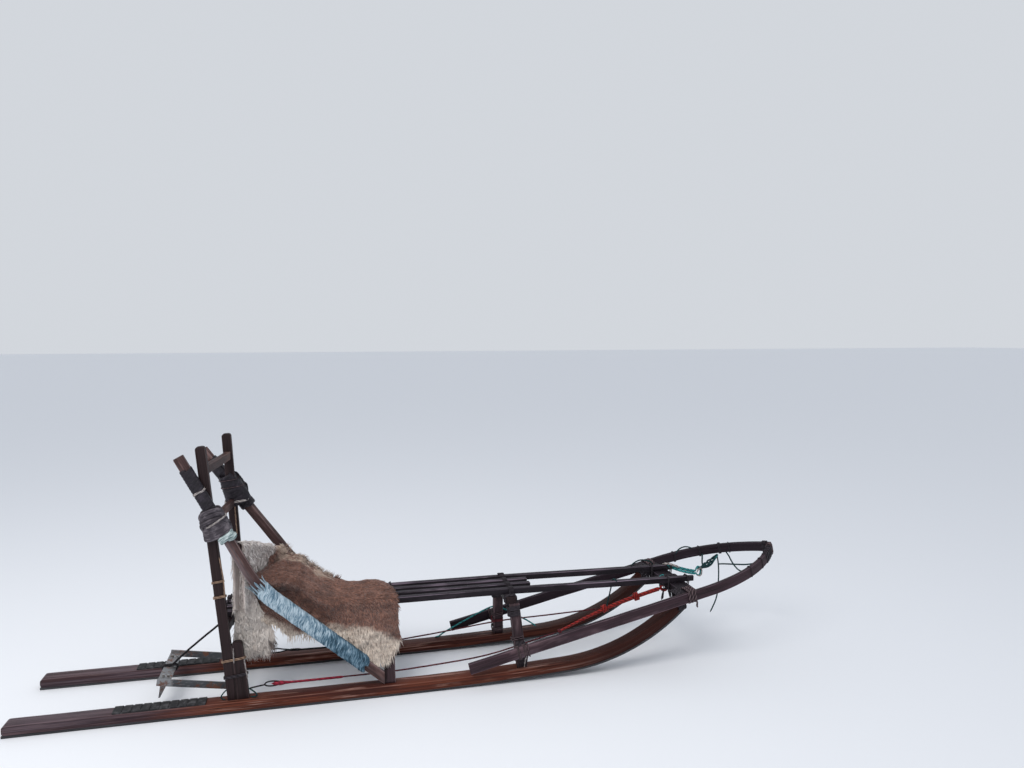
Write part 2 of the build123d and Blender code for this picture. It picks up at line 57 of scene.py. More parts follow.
class Value:
    """A number or colour that changes over a surface. Sums of values become Math nodes."""

    def __init__(self, finish, socket):
        self.finish = finish
        self.socket = socket

    def math(self, operation, first, second=0.0):
        return self.finish.node("Math", {"operation": operation}, {0: first, 1: second})

    def __add__(self, other):
        return self.math("ADD", self, other)

    def __sub__(self, other):
        return self.math("SUBTRACT", self, other)

    def __rsub__(self, other):
        return self.math("SUBTRACT", other, self)

    def __mul__(self, other):
        return self.math("MULTIPLY", self, other)

    def __truediv__(self, other):
        return self.math("DIVIDE", self, other)

    def __abs__(self):
        return self.math("ABSOLUTE", self)

    __radd__ = __add__
    __rmul__ = __mul__

    def least(self, other):
        return self.math("MINIMUM", self, other)

    def most(self, other):
        return self.math("MAXIMUM", self, other)

    def sine(self):
        return self.math("SINE", self)

    def rounded(self):
        return self.math("ROUND", self)

    def rises(self, low, high):
        """0 below low, 1 above high, smooth between."""
        return self.finish.node("MapRange", {"interpolation_type": "SMOOTHSTEP"}, {
            "Value": self, "From Min": low, "From Max": high})


class Finish:
    """One material: a Principled shader, and what varies over the surface."""

    def __init__(self, name, roughness=0.6, **plain):
        self.material = bpy.data.materials.new(name)
        self.material.use_nodes = True
        self.tree = self.material.node_tree
        self.shader = self.tree.nodes["Principled BSDF"]
        self.shader.inputs["Roughness"].default_value = roughness
        for socket, value in plain.items():
            self.shader.inputs[socket.replace("_", " ")].default_value = value

    def node(self, kind, settings=None, sockets=None, output=0):
        node = self.tree.nodes.new("ShaderNode" + kind)
        for key, value in (settings or {}).items():
            if key == "stops":
                for index, (place, colour) in enumerate(value):
                    ramp = node.color_ramp.elements
                    stop = ramp[index] if index < 2 else ramp.new(place)
                    stop.position = place
                    stop.color = (*colour, 1)
            else:
                setattr(node, key, value)
        for key, value in (sockets or {}).items():
            self.join(node.inputs[key], value)
        return Value(self, node.outputs[output])

    def join(self, socket, value):
        if isinstance(value, Value):
            self.tree.links.new(value.socket, socket)
        else:
            socket.default_value = value

    def vary(self, socket, value):
        self.join(self.shader.inputs[socket], value)

    def place(self, attribute=None):
        if attribute is None:
            return self.node("TexCoord", output="Object")
        return self.node("Attribute", {"attribute_name": attribute}, output="Vector")

    def apart(self, vector):
        """The three numbers of a vector."""
        return [self.node("SeparateXYZ", {}, {0: vector}, output=i) for i in range(3)]

    def stretched(self, vector, scale, shift=(0, 0, 0)):
        return self.node("Mapping", {}, {"Vector": vector, "Scale": scale, "Location": shift})

    def cloud(self, vector, scale, detail=4.0, rough=0.6, warp=0.0):
        return self.node("TexNoise", {}, {
            "Vector": vector, "Scale": scale, "Detail": detail, "Roughness": rough,
            "Distortion": warp})

    def ramp(self, value, *stops):
        return self.node("ValToRGB", {"stops": stops}, {"Fac": value})

    def blend(self, mask, first, second):
        mix = self.tree.nodes.new("ShaderNodeMix")
        mix.data_type = "RGBA"
        self.join(mix.inputs[0], mask)
        for socket, colour in ((mix.inputs[6], first), (mix.inputs[7], second)):
            self.join(socket, colour if isinstance(colour, Value) else (*colour, 1))
        return Value(self, mix.outputs[2])

    def relief(self, height, depth):
        """The surface's small ups and downs, in metres."""
        self.vary("Normal", self.node("Bump", {}, {
            "Height": height, "Distance": depth, "Strength": 1.0}))


snow_pale = (0.86, 0.88, 0.92)
ground = Finish("floor_pale", roughness=0.9)
ground.vary("Base Color", (*snow_pale, 1))
floor.data.materials.append(ground.material)

sky = bpy.data.worlds.new("studio_sky")
dog_sled.world = sky
sky.use_nodes = True
sky.node_tree.nodes["Background"].inputs["Color"].default_value = (0.90, 0.94, 1.0, 1)
sky.node_tree.nodes["Background"].inputs["Strength"].default_value = 0.72

bpy.ops.object.light_add(type="AREA", location=(-2.4, -2.6, 4.6))
lamp = bpy.context.object
lamp.data.shape = "DISK"
lamp.data.size = 3.4
lamp.data.energy = 150
lamp.data.color = (1.0, 0.97, 0.93)
lamp.rotation_euler = (Vector((-0.1, 0, 0.3)) - lamp.location).to_track_quat("-Z", "Y").to_euler()

bpy.ops.object.camera_add(location=(-0.4748, -3.3472, 1.4500), rotation=[
    math.radians(turn) for turn in (86.5874, 0.1745, -13.5793)])
dog_sled.camera = bpy.context.object
dog_sled.camera.data.lens = 27.41
dog_sled.camera.data.sensor_width = 36
dog_sled.view_settings.view_transform = "Standard"

# Runners: two birch planks, glued up from thin layers, planed straight and then bent up at
# the nose over a former. The top is worn grey, the sides keep a red-brown oil.
# Under each is screwed a dark plastic sole, which is the part that slides.

# The knife marks here and the hides' ripples come from one seed, the same in every run.
noise.seed_set(5)


def plank(name, length, wide, tall, ease=0.0025, step=0.05, hewn=0.0006, seed=0, tops=()):
    """A plank lying along x, its start at the origin: wide along y and tall along z.
    Each of tops rounds an end: (which end, "y" or "z" for the edges' direction, radius)."""
    bpy.ops.object.select_all(action="DESELECT")
    bpy.ops.mesh.primitive_cube_add(size=1, location=(length / 2, 0, 0))
    board = bpy.context.object
    board.name = name
    board.scale = (length, wide, tall)
    bpy.ops.object.transform_apply(location=True, rotation=False, scale=True)
    bpy.ops.object.mode_set(mode="EDIT")
    for at, along, radius in tops:
        pick(board, lambda a, b: max(abs(a.x - at * length), abs(b.x - at * length)) < 1e-4
             and abs(getattr(a, along) - getattr(b, along)) > 1e-4)
        bpy.ops.mesh.bevel(offset=radius, segments=5, affect="EDGES")
    pick(board, lambda a, b: abs(a.x - b.x) > length / 2)
    bpy.ops.mesh.subdivide(number_cuts=max(1, round(length / step)))
    bpy.ops.object.mode_set(mode="OBJECT")
    edges = board.modifiers.new("eased", "BEVEL")
    edges.width = ease
    edges.segments = 2
    edges.limit_method = "ANGLE"
    edges.angle_limit = math.radians(40)
    bpy.ops.object.modifier_apply(modifier="eased")
    mesh = board.data
    straight = mesh.attributes.new("board", "FLOAT_VECTOR", "POINT")
    faces = mesh.attributes.new("face", "FLOAT_VECTOR", "POINT")
    for index, point in enumerate(mesh.vertices):
        x, y, z = point.co
        straight.data[index].vector = (x + 3.7 * seed, y, z)
        faces.data[index].vector = (x, 2 * y / wide, 2 * z / tall)
        knife = noise.noise_vector(Vector((x * 9 + 17.3 * seed, y * 30, z * 30)))
        point.co += Vector((0, knife.y, knife.z)) * hewn
    bpy.ops.object.shade_smooth_by_angle(angle=math.radians(35))
    return board


def pick(thing, wanted):
    """Selects in edit mode the edges whose two ends pass the test."""
    bpy.ops.mesh.select_all(action="DESELECT")
    sculpt = bmesh.from_edit_mesh(thing.data)
    sculpt.select_mode = {"EDGE"}
    for edge in sculpt.edges:
        edge.select_set(wanted(edge.verts[0].co, edge.verts[1].co))
    sculpt.select_flush_mode()
    bmesh.update_edit_mesh(thing.data)


def course(start, heading, toward, legs=((1, 0),)):
    """A bent centre line. Each leg is (length, bend per metre towards `toward`), and the last
    one runs on as far as the board reaches."""
    def at(distance):
        point, ahead, side = Vector(start), Vector(heading).normalized(), Vector(toward)
        side = (side - ahead * side.dot(ahead)).normalized()
        left = distance
        for index, (length, bend) in enumerate(legs):
            last = index == len(legs) - 1
            go = left if last else min(left, length)
            if bend:
                turn = go * bend
                point = point + (ahead * math.sin(turn) + side * (1 - math.cos(turn))) / bend
                ahead, side = (ahead * math.cos(turn) + side * math.sin(turn),
                               side * math.cos(turn) - ahead * math.sin(turn))
            else:
                point = point + ahead * go
            left -= go
            if left <= 0 and not last:
                break
        return point, ahead, side
    return at


def bend(board, path):
    """Lays a straight plank along a course. Its z turns to the side that the course bends to."""
    for point in board.data.vertices:
        middle, ahead, toward = path(point.co.x)
        point.co = middle + toward.cross(ahead) * point.co.y + toward * point.co.z
    return board


def saw(board, *cuts):
    """Cuts a board flat at each place and takes off what lies outward of it."""
    bpy.ops.object.select_all(action="DESELECT")
    board.select_set(True)
    bpy.context.view_layer.objects.active = board
    bpy.ops.object.mode_set(mode="EDIT")
    for place, outward in cuts:
        bpy.ops.mesh.select_all(action="SELECT")
        bpy.ops.mesh.bisect(plane_co=place, plane_no=outward, use_fill=True, clear_outer=True)
    bpy.ops.object.mode_set(mode="OBJECT")


def fix(piece, finish, slot, *nodes, body="sled"):
    """Gives a piece its finish and fastens it to a body in place of any nodes. slot is not used.
    """
    piece.data.materials.clear()
    piece.data.materials.append(finish.material)
    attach(piece, body)
    if nodes:
        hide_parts(*nodes)
    return piece


def timber(name, worn, sound, oil, roughness=0.62, layers=0.0, oiled=0.5, gloss=0.2, fore=None,
           sides=0.0):
    """Weathered wood. worn is its grey open grain, sound the wood under it, oil the dark
    old finish, all linear colours. layers is the height of a glued layer, where it has them,
    and fore is from where to where along the sled it turns darker, a painted shade, on
    which its tail is bleached grey too. oiled is how much of the oil is left, gloss how far it
    shines, and sides how far all but the top is darkened, a painted shade."""
    wood = Finish(name, roughness, Specular_IOR_Level=gloss)
    board = wood.place("board")
    to_side, to_top = wood.apart(wood.place("face"))[1:]
    fibres = wood.cloud(wood.stretched(board, (2.6, 190, 190)), 1.0, 5.0, 0.7)
    rings = wood.cloud(wood.stretched(board, (1.2, 34, 34)), 1.0, 3.0, 0.55, 0.6)
    patches = wood.cloud(wood.stretched(board, (3.2, 11, 11)), 1.0, 4.0, 0.62)
    splits = wood.cloud(wood.stretched(board, (1.7, 95, 95), (3, 5, 1)), 1.0, 2.0, 0.5)
    dents = wood.cloud(wood.stretched(board, (30, 60, 60)), 1.0, 3.0, 0.6)
    split = 1 - abs(splits - 0.5).rises(0.0, 0.022)
    split = split * patches.rises(0.42, 0.58)
    edge = abs(to_side).least(abs(to_top)).rises(0.72, 1.02)
    grain = fibres * 0.55 + rings * 0.45
    tone = wood.blend(grain.rises(0.38, 0.62), [c * 0.55 for c in worn], sound)
    tone = wood.blend(grain.rises(0.50, 0.66), tone, worn)
    kept = patches + (1 - edge) * 0.12 + rings * 0.25 - 0.19
    kept = kept.rises(0.60 - oiled * 0.5, 0.74 - oiled * 0.5)
    old_oil = wood.blend(fibres.rises(0.40, 0.62), [c * 0.6 for c in oil], oil)
    tone = wood.blend(kept * 0.90, tone, old_oil)
    # Edges and grain crowns are paler: partly rubbed wear, partly a painted highlight.
    rubbed_and_highlit = (edge * 0.9 + fibres - 0.55).rises(0.35, 0.8)
    tone = wood.blend(rubbed_and_highlit * 0.42, tone, [min(1, 1.5 * c + 0.02) for c in worn])
    dirt = (dents + patches * 0.6 - 0.3).rises(0.62, 0.80)
    tone = wood.blend(dirt * 0.5, tone, [c * 0.3 for c in oil])
    height = fibres * 0.5 + rings * 0.35 - split * 1.3 - dirt * 0.3
    if layers:
        along, upward = wood.apart(board)[::2]
        layer = upward / layers
        nearest = layer.rounded()
        glue = 1 - abs(layer - nearest).rises(0.02, 0.09)
        each_layer = wood.node("CombineXYZ", {}, {0: along * 1.4, 1: nearest * 7.3})
        paler = wood.cloud(each_layer, 1.0, 2.0)
        tone = wood.blend(paler.rises(0.42, 0.62) * 0.5, tone, sound)
        tone = wood.blend(glue * 0.8, tone, [c * 0.2 for c in oil])
        height = height - glue * 0.7
        bare = wood.cloud(wood.stretched(board, (2.4, 45, 150), (9, 2, 4)), 1.0, 2.0)
        bare = bare.rises(0.55, 0.62) * patches.rises(0.42, 0.56)
        tone = wood.blend(bare * 0.75, tone, [c * 1.9 + 0.05 for c in worn])
    tone = wood.blend(split * 0.9, tone, [c * 0.12 for c in sound])
    if fore:
        forward = wood.apart(wood.place())[0] + patches * 0.3
        bleached = wood.blend(grain.rises(0.40, 0.62), (0.026, 0.019, 0.026),
                              (0.135, 0.105, 0.125))
        tone = wood.blend(0.80 - forward.rises(-1.10, -0.72) * 0.80, tone, bleached)
        # Towards the nose the wood turns darker with the old oil's colour: a painted shade.
        tone = wood.blend(forward.rises(*fore) * 0.92, tone, [c * 0.4 for c in oil])
    # All but the top is darkened towards the old oil's colour: a painted shade, which leaves the
    # tops looking lit.
    if sides:
        painted_side_shade = (1 - to_top.rises(0.70, 0.98)) * sides
        tone = wood.blend(painted_side_shade, tone, [c * 0.45 for c in oil])
    wood.vary("Base Color", tone)
    wood.vary("Roughness", (kept * -0.14 + fibres * 0.2 + roughness).most(0.3).least(0.95))
    wood.relief(height, 0.0013)
    return wood


tail_x, rear_x, middle_x, front_x = -1.639, -0.841, -0.233, 0.309
half_gauge = 0.2025
deck_z = 0.043
middle_of_plank = 0.0255
tip_z = 0.2898
flat_run = 1.448
rocker_bend, nose_bend = 1 / (12.5 - middle_of_plank), 1 / (0.87 - middle_of_plank)
rocker_turn, tip_turn = 0.05683, 0.7444
rocker_run = rocker_turn / rocker_bend
nose_run = (tip_turn - rocker_turn) / nose_bend

# Towards their noses the runners are darkened: a painted shade.
runner_wood = timber(
    "runner_birch_oiled", worn=(0.18, 0.088, 0.066), sound=(0.21, 0.058, 0.028),
    oil=(0.066, 0.0155, 0.0115), layers=0.0117, oiled=0.72, roughness=0.55, gloss=0.12,
    fore=(0.40, 0.90))
for side, name in ((-1, "right"), (1, "left")):
    runner = plank("runner_plank_" + name, flat_run + rocker_run + nose_run, 0.070, 0.035,
                   ease=0.003, step=0.035, seed=side + 3, tops=[(0, "y", 0.012)])
    bend(runner, course((tail_x, side * half_gauge, middle_of_plank), (1, 0, 0), (0, 0, 1),
                        [(flat_run, 0), (rocker_run, rocker_bend), (nose_run, nose_bend)]))
    saw(runner, ((0, 0, tip_z), (0, 0, 1)))
    fix(runner, runner_wood, "runner_wood", "runner_" + name)


def dress(finish, *nodes):
    """Gives a finish to solids that show as they are."""
    for name in nodes:
        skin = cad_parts[name].data
        skin.materials.clear()
        skin.materials.append(finish.material)


slick = Finish("sole_plastic_dark", roughness=0.42)
drag = slick.cloud(slick.stretched(slick.place(), (3, 260, 260)), 1.0, 3.0)
slick.vary("Base Color", slick.blend(drag.rises(0.5, 0.75), (0.012, 0.012, 0.015),
                                     (0.085, 0.085, 0.095)))
slick.relief(drag, 0.0005)
dress(slick, "runner_sole_right", "runner_sole_left", "nose_sole_right", "nose_sole_left")

# Foot pads: ribbed rubber treads, cut from old tyre and screwed to the runners behind the
# posts. The driver stands on them, and the scuffs have worn pale.
rubber = Finish("tread_rubber", roughness=0.8)
scuffs = rubber.cloud(rubber.place(), 45.0, 4.0)
rubber.vary("Base Color", rubber.blend(scuffs.rises(0.45, 0.75), (0.010, 0.010, 0.012),
                                       (0.075, 0.072, 0.078)))
rubber.relief(rubber.cloud(rubber.place(), 320.0, 3.0), 0.0006)
dress(rubber, "foot_pad_right", "foot_pad_left")

# Posts and rear stanchions: rough-sawn birch, nearly black with old oil and handling. The
# two posts have racked and lean a little differently.
post_wood = timber(
    "post_birch_dark", worn=(0.085, 0.056, 0.055), sound=(0.06, 0.028, 0.024),
    oil=(0.019, 0.0095, 0.011), oiled=0.68)
left_rear_x = -0.827
post_rise, brace_rise = 0.997, 0.229
for side, name, foot, lean in ((-1, "right", rear_x, 0.097), (1, "left", left_rear_x, 0.063)):
    rise = Vector((-lean, 0, post_rise))
    post = plank("post_stick_" + name, rise.length, 0.030, 0.038, seed=5 + side, hewn=0.0012,
                 tops=[(1, "y", 0.012)])
    bend(post, course((foot, side * half_gauge, deck_z), rise, (1, 0, 0)))
    fix(post, post_wood, "handle_wood", "rear_post_" + name)
    short = Vector((-lean * brace_rise / post_rise, 0, brace_rise))
    stanchion = plank("post_brace_stick_" + name, short.length, 0.030, 0.042, seed=8 + side,
                      hewn=0.001, tops=[(1, "y", 0.016)])
    bend(stanchion, course((foot + 0.040, side * half_gauge, deck_z), short, (1, 0, 0)))
    fix(stanchion, post_wood, "frame_wood", "rear_stanchion_" + name)

# Middle and front stanchions: squared sticks mortised into the runners, which lean in to
# carry the bed. Their ends stay square on the runner and under the crossbar.
stanchion_wood = timber(
    "stanchion_birch", worn=(0.17, 0.118, 0.135), sound=(0.105, 0.056, 0.056),
    oil=(0.036, 0.019, 0.024), oiled=0.42)
stanchion_in, stanchion_rise = 0.076, 0.2795
stick_foot_z, stick_top_z = deck_z + 0.0002, 0.3048
sawn_off = 0.02
# Side's name, side, foot, how far forward its top leans
front_feet = (("right", -1, 0.327, -0.020), ("left", 1, front_x, -0.016))
middle_feet = (("right", -1, middle_x, 0.0), ("left", 1, middle_x, 0.0))
for pair, feet in (("middle", middle_feet), ("front", front_feet)):
    for name, side, x, rake in feet:
        rise = Vector((rake, -side * stanchion_in, stanchion_rise))
        stick = plank("%s_stanchion_%s_stick" % (pair, name), rise.length + 2 * sawn_off, 0.044,
                      0.028, seed=x * 7 + side, hewn=0.0011)
        # The plank's own z is across the sled here.
        start = Vector((x, side * half_gauge, middle_of_plank)) - rise.normalized() * sawn_off
        bend(stick, course(start, rise, (0, side, 0)))
        saw(stick, ((0, 0, stick_foot_z), (0, 0, -1)), ((0, 0, stick_top_z), (0, 0, 1)))
        fix(stick, stanchion_wood, "frame_wood", "%s_stanchion_%s" % (pair, name))

# Crossbars under the bed, and the two bars between the posts: the lower bar and the
# handlebar that the driver holds, its middle rubbed pale by gloves.
bar_wood = timber(
    "bar_birch", worn=(0.17, 0.115, 0.11), sound=(0.13, 0.066, 0.050), oil=(0.045, 0.021, 0.021),
    oiled=0.4)
post_bar_y, bed_bar_y = 0.1875, 0.1415
crossbar_z, lower_bar_z, handlebar_z = 0.320, 0.740, 0.945
front_bar_x = 0.293
# Name, right end, left end, width, height, wood, slot
for name, start, end, wide, tall, wood, slot in (
        ("rear_crossbar", (-0.8694, -post_bar_y, crossbar_z), (-0.8445, post_bar_y, crossbar_z),
         0.038, 0.030, post_wood, "frame_wood"),
        ("middle_crossbar", (middle_x, -bed_bar_y, crossbar_z), (middle_x, bed_bar_y, crossbar_z),
         0.044, 0.030, post_wood, "frame_wood"),
        ("front_crossbar", (front_bar_x, -bed_bar_y, crossbar_z),
         (front_bar_x, bed_bar_y, crossbar_z), 0.044, 0.030, post_wood, "frame_wood"),
        ("lower_handle_bar", (-0.9088, -post_bar_y, lower_bar_z),
         (-0.8710, post_bar_y, lower_bar_z), 0.022, 0.030, bar_wood, "handle_wood"),
        ("handlebar", (-0.9288, -post_bar_y, handlebar_z), (-0.8840, post_bar_y, handlebar_z),
         0.024, 0.034, bar_wood, "handle_wood"),
        ("backrest_bar", (-0.8208, -0.2170, 0.645), (-0.6520, 0.2165, 0.500),
         0.020, 0.028, bar_wood, "handle_wood")):
    along = Vector(end) - Vector(start)
    bar = plank(name + "_stick", along.length, wide, tall, seed=sum(map(ord, name)) % 13,
                hewn=0.0009)
    bend(bar, course(start, along, (0, 0, 1)))
    fix(bar, wood, slot, name)

# Bed: two long rails with whittled tips and two short slats between them, planed from
# spruce and lashed down on the crossbars. The rails dip on to the nose board.
# Its pale mauve worn colour partly stands for the sky's sheen on the tops, a painted highlight,
# and its sides and underside are darkened as painted shade.
bed_wood = timber(
    "bed_spruce_dark", worn=(0.270, 0.210, 0.275), sound=(0.105, 0.074, 0.094),
    oil=(0.018, 0.012, 0.019), oiled=0.40, gloss=0.22, sides=0.85)
rail_y, slat_y = 0.092, 0.030
bed_rear_x, bed_z = -0.8884, 0.3475
whittled = 0.110
for name, y, end in (("bed_rail_right", -rail_y, 1.171), ("bed_rail_left", rail_y, 1.147),
                     ("bed_slat_right", -slat_y, 0.404), ("bed_slat_left", slat_y, 0.404)):
    length = end - bed_rear_x
    lath = plank(name + "_lath", length, 0.030, 0.025, seed=y * 60, hewn=0.0009)
    legs = [(length, 0)]
    if name.startswith("bed_rail"):
        for point in lath.data.vertices:
            share = max(0.0, 1 - (length - point.co.x) / whittled)
            point.co.y *= 1 - share * 0.6
        legs = [(1.2034, 0), (0.004, -3.0), (length, 0)]
    bend(lath, course((bed_rear_x, y, bed_z), (1, 0, 0), (0, 0, 1), legs))
    fix(lath, bed_wood, "bed_wood", name)

# Nose board: a thick board with rounded ends, laid over the runners' tips and lashed.
nose_wood = timber(
    "nose_board_birch", worn=(0.075, 0.055, 0.075), sound=(0.034, 0.019, 0.020),
    oil=(0.010, 0.0065, 0.011), oiled=0.72)
nose_x, nose_z, nose_wide = 1.087, 0.3075, 0.475
board = plank("nose_plank", nose_wide, 0.080, 0.035, seed=11, ease=0.004, hewn=0.0015,
              tops=[(0, "z", 0.026), (1, "z", 0.026)])
bend(board, course((nose_x, -nose_wide / 2, nose_z), (0, 1, 0), (0, 0, 1)))
fix(board, nose_wood, "frame_wood", "nose_board")

# Brush bow: two flat strips of ash, steamed and bent to meet at the tip. Their rear ends
# are sawn square and lie outside the front stanchions. The left one is darker: a painted shade.
bow_wood = timber(
    "bow_ash_grey", worn=(0.165, 0.115, 0.145), sound=(0.105, 0.058, 0.060),
    oil=(0.040, 0.019, 0.027), oiled=0.42)
# The left arm's darker copy of the same ash is a painted shade on its inner face.
shaded_bow_wood = timber(
    "bow_ash_painted_shade", worn=(0.085, 0.060, 0.085), sound=(0.050, 0.028, 0.032),
    oil=(0.018, 0.009, 0.015), oiled=0.6)
slope = math.radians(12.7)
arm_x, arm_y, arm_z = 0.089, 0.2475, 0.083
arm_wide, arm_thick = 0.045, 0.019
straight_run, arc_radius, arc_turn = 1.1071, 0.5611, 1.023
half_gap = 0.0004
bow_ways = {}
for side, name, wood in ((-1, "right", bow_wood), (1, "left", shaded_bow_wood)):
    arm = plank("bow_strip_" + name, straight_run + arc_radius * arc_turn, arm_wide, arm_thick,
                seed=side * 2 + 9, step=0.03, hewn=0.0009)
    bow_ways[side] = course(
        (arm_x, side * arm_y, arm_z), (math.cos(slope), 0, math.sin(slope)), (0, -side, 0),
        [(straight_run, 0), (arc_radius * arc_turn, 1 / arc_radius)])
    bend(arm, bow_ways[side])
    saw(arm, ((0, side * half_gap, 0), (0, -side, 0)))
    fix(arm, wood, "bow_wood", "bow_arm_" + name)

# Handle struts: bent birch that butts on the middle stanchions' feet and runs up past the
# lower bar, splaying out to lie outside the posts, to the driver's hands.
strut_wood = timber(
    "strut_birch_bare", worn=(0.21, 0.165, 0.175), sound=(0.185, 0.092, 0.075),
    oil=(0.070, 0.036, 0.034), oiled=0.32)
strut_wide, strut_deep, strut_bend = 0.024, 0.040, 0.42
strut_y = 0.2295
butt_x = middle_x - 0.0222
strut_ways = {}
# Side, its name, and where foot, knee and head are: along the sled and up
for side, name, foot, knee, head in (
        (-1, "right", (-0.2295, 0.043), (-0.735, 0.480), (-1.013, 1.005)),
        (1, "left", (-0.235, 0.043), (-0.646, 0.492), (-0.992, 0.970))):
    foot = Vector((foot[0], side * half_gauge, foot[1]))
    knee = Vector((knee[0], side * strut_y, knee[1]))
    lower, upper = knee - foot, Vector((head[0], side * strut_y, head[1])) - knee
    turn = lower.angle(upper)
    cut = strut_bend * math.tan(turn / 2)
    strut_ways[side] = course(foot, lower, upper, [
        (lower.length - cut, 0), (strut_bend * turn, 1 / strut_bend), (upper.length, 0)])
    strut = plank(
        "strut_stick_" + name, lower.length + upper.length - 2 * cut + strut_bend * turn,
        strut_wide, strut_deep, seed=side + 15, step=0.03, hewn=0.0011)
    bend(strut, strut_ways[side])
    saw(strut, ((0, 0, stick_foot_z), (0, 0, -1)), ((butt_x, 0, 0), (1, 0, 0)))
    fix(strut, strut_wood, "handle_wood", "handle_strut_" + name)

# Cloth rope wound round the right strut from above its foot to the bend: torn strips of
# faded blue cloth, drawn tight turn against turn, with a frayed top end. It keeps a
# driver's leg off the wood and stops the strut from splitting.


def section(flat, radius, strands, twist, sides):
    """The radius and direction of each side of a rope's cross-section at some twist."""
    turn = np.arange(sides) * 2 * math.pi / sides
    lobes = 1 if not strands else 0.86 + 0.14 * np.abs(np.cos(strands / 2 * (turn - twist)))
    return np.cos(turn) * radius * lobes, np.sin(turn) * radius * flat * lobes


def rope(name, line, radius, strands=0, lay=0.03, flat=1.0, outward=None, sides=8, taper=0.0):
    """A closed tube along a line of points. Strands twist round it once in each lay, and a
    flat strip turns its broad side outward."""
    line = np.array(line, float)
    ahead = np.gradient(line, axis=0)
    ahead /= np.linalg.norm(ahead, axis=1, keepdims=True)
    gone = np.concatenate([[0], np.cumsum(np.linalg.norm(np.diff(line, axis=0), axis=1))])
    points, cloth = [], []
    side = np.cross(ahead[0], (0.31, 0.17, 0.93))
    for index, (place, way) in enumerate(zip(line, ahead)):
        if outward is not None:
            side = np.cross(way, outward[index])
        side = side - way * side.dot(way)
        side /= np.linalg.norm(side)
        up = np.cross(side, way)
        thick = radius[index] if np.ndim(radius) else radius
        if taper:
            thick = thick * min(1, 0.25 + 0.75 * min(gone[index], gone[-1] - gone[index]) / taper)
        a, b = section(flat, thick, strands, 2 * math.pi * gone[index] / lay, sides)
        points += [place + side * i + up * j for i, j in zip(a, b)]
        cloth += [(gone[index], i / sides, 0) for i in range(sides)]
    rings = len(line)
    faces = [(r * sides + i, r * sides + (i + 1) % sides, (r + 1) * sides + (i + 1) % sides,
              (r + 1) * sides + i) for r in range(rings - 1) for i in range(sides)]
    faces += [tuple(range(sides - 1, -1, -1)), tuple(range((rings - 1) * sides, rings * sides))]
    mesh = bpy.data.meshes.new(name)
    mesh.from_pydata([tuple(p) for p in points], [], faces)
    worn = mesh.attributes.new("rope", "FLOAT_VECTOR", "POINT")
    worn.data.foreach_set("vector", np.array(cloth, float).ravel())
    mesh.polygons.foreach_set("use_smooth", [True] * len(mesh.polygons))
    cord = bpy.data.objects.new(name, mesh)
    dog_sled.collection.objects.link(cord)
    return cord


def winding(start, end, across, half_across, half_up, turns, slant=0.0, loose=0.0, seed=0,
            square=0.42, narrow=(1, 1)):
    """Points of a cord wound round a squared stick, and the way out from the stick at each.
    The stick's middle runs from start to end, and across is one direction of its section.
    square is 1 round a round stick, and narrow thins the winding from start to end."""
    per_turn = 26
    start, end = Vector(start), Vector(end)
    axis = (end - start).normalized()
    across = Vector(across)
    across = (across - axis * across.dot(axis)).normalized()
    up = axis.cross(across)
    line, out = [], []
    count = int(turns * per_turn)
    for index in range(count + 1):
        angle = 2 * math.pi * (index / per_turn)
        c, s = math.cos(angle), math.sin(angle)
        a, b = math.copysign(abs(c) ** square, c), math.copysign(abs(s) ** square, s)
        wander = noise.noise(Vector((index / per_turn * 1.7, seed * 3.1, 0.5)))
        puff = 1 + loose * (0.6 + 0.8 * noise.noise(Vector((index / 5, seed, 7))))
        share = index / count
        middle = start.lerp(end, share) + axis * (slant * s + loose * 0.03 * wander)
        half = half_across * (narrow[0] + (narrow[1] - narrow[0]) * share)
        line.append(middle + across * a * half * puff + up * b * half_up * puff)
        out.append(across * a * half_up + up * b * half_across)
    return [tuple(p) for p in line], [np.array(p) / np.linalg.norm(p) for p in out]


def smooth(points, each=8):
    """Points along a NURBS curve drawn through a few control points."""
    curve = bpy.data.curves.new("guide", "CURVE")
    curve.dimensions = "3D"
    spline = curve.splines.new("NURBS")
    spline.points.add(len(points) - 1)
    for knot, place in zip(spline.points, points):
        knot.co = (*place, 1)
    spline.order_u = 3
    spline.use_endpoint_u = True
    spline.resolution_u = each
    guide = bpy.data.objects.new("guide", curve)
    mesh = bpy.data.meshes.new_from_object(guide)
    line = [tuple(v.co) for v in mesh.vertices]
    bpy.data.objects.remove(guide)
    return line


blue_cloth = Finish("faded_blue_cloth", roughness=0.85)
run, around = blue_cloth.apart(blue_cloth.place("rope"))[:2]
faded = blue_cloth.cloud(blue_cloth.place(), 26.0, 4.0)
weave = ((run * 900).sine() * (around * 60).sine())
crease = blue_cloth.cloud(blue_cloth.stretched(blue_cloth.place("rope"), (28, 9, 1)), 1.0, 4.0,
                          0.65)
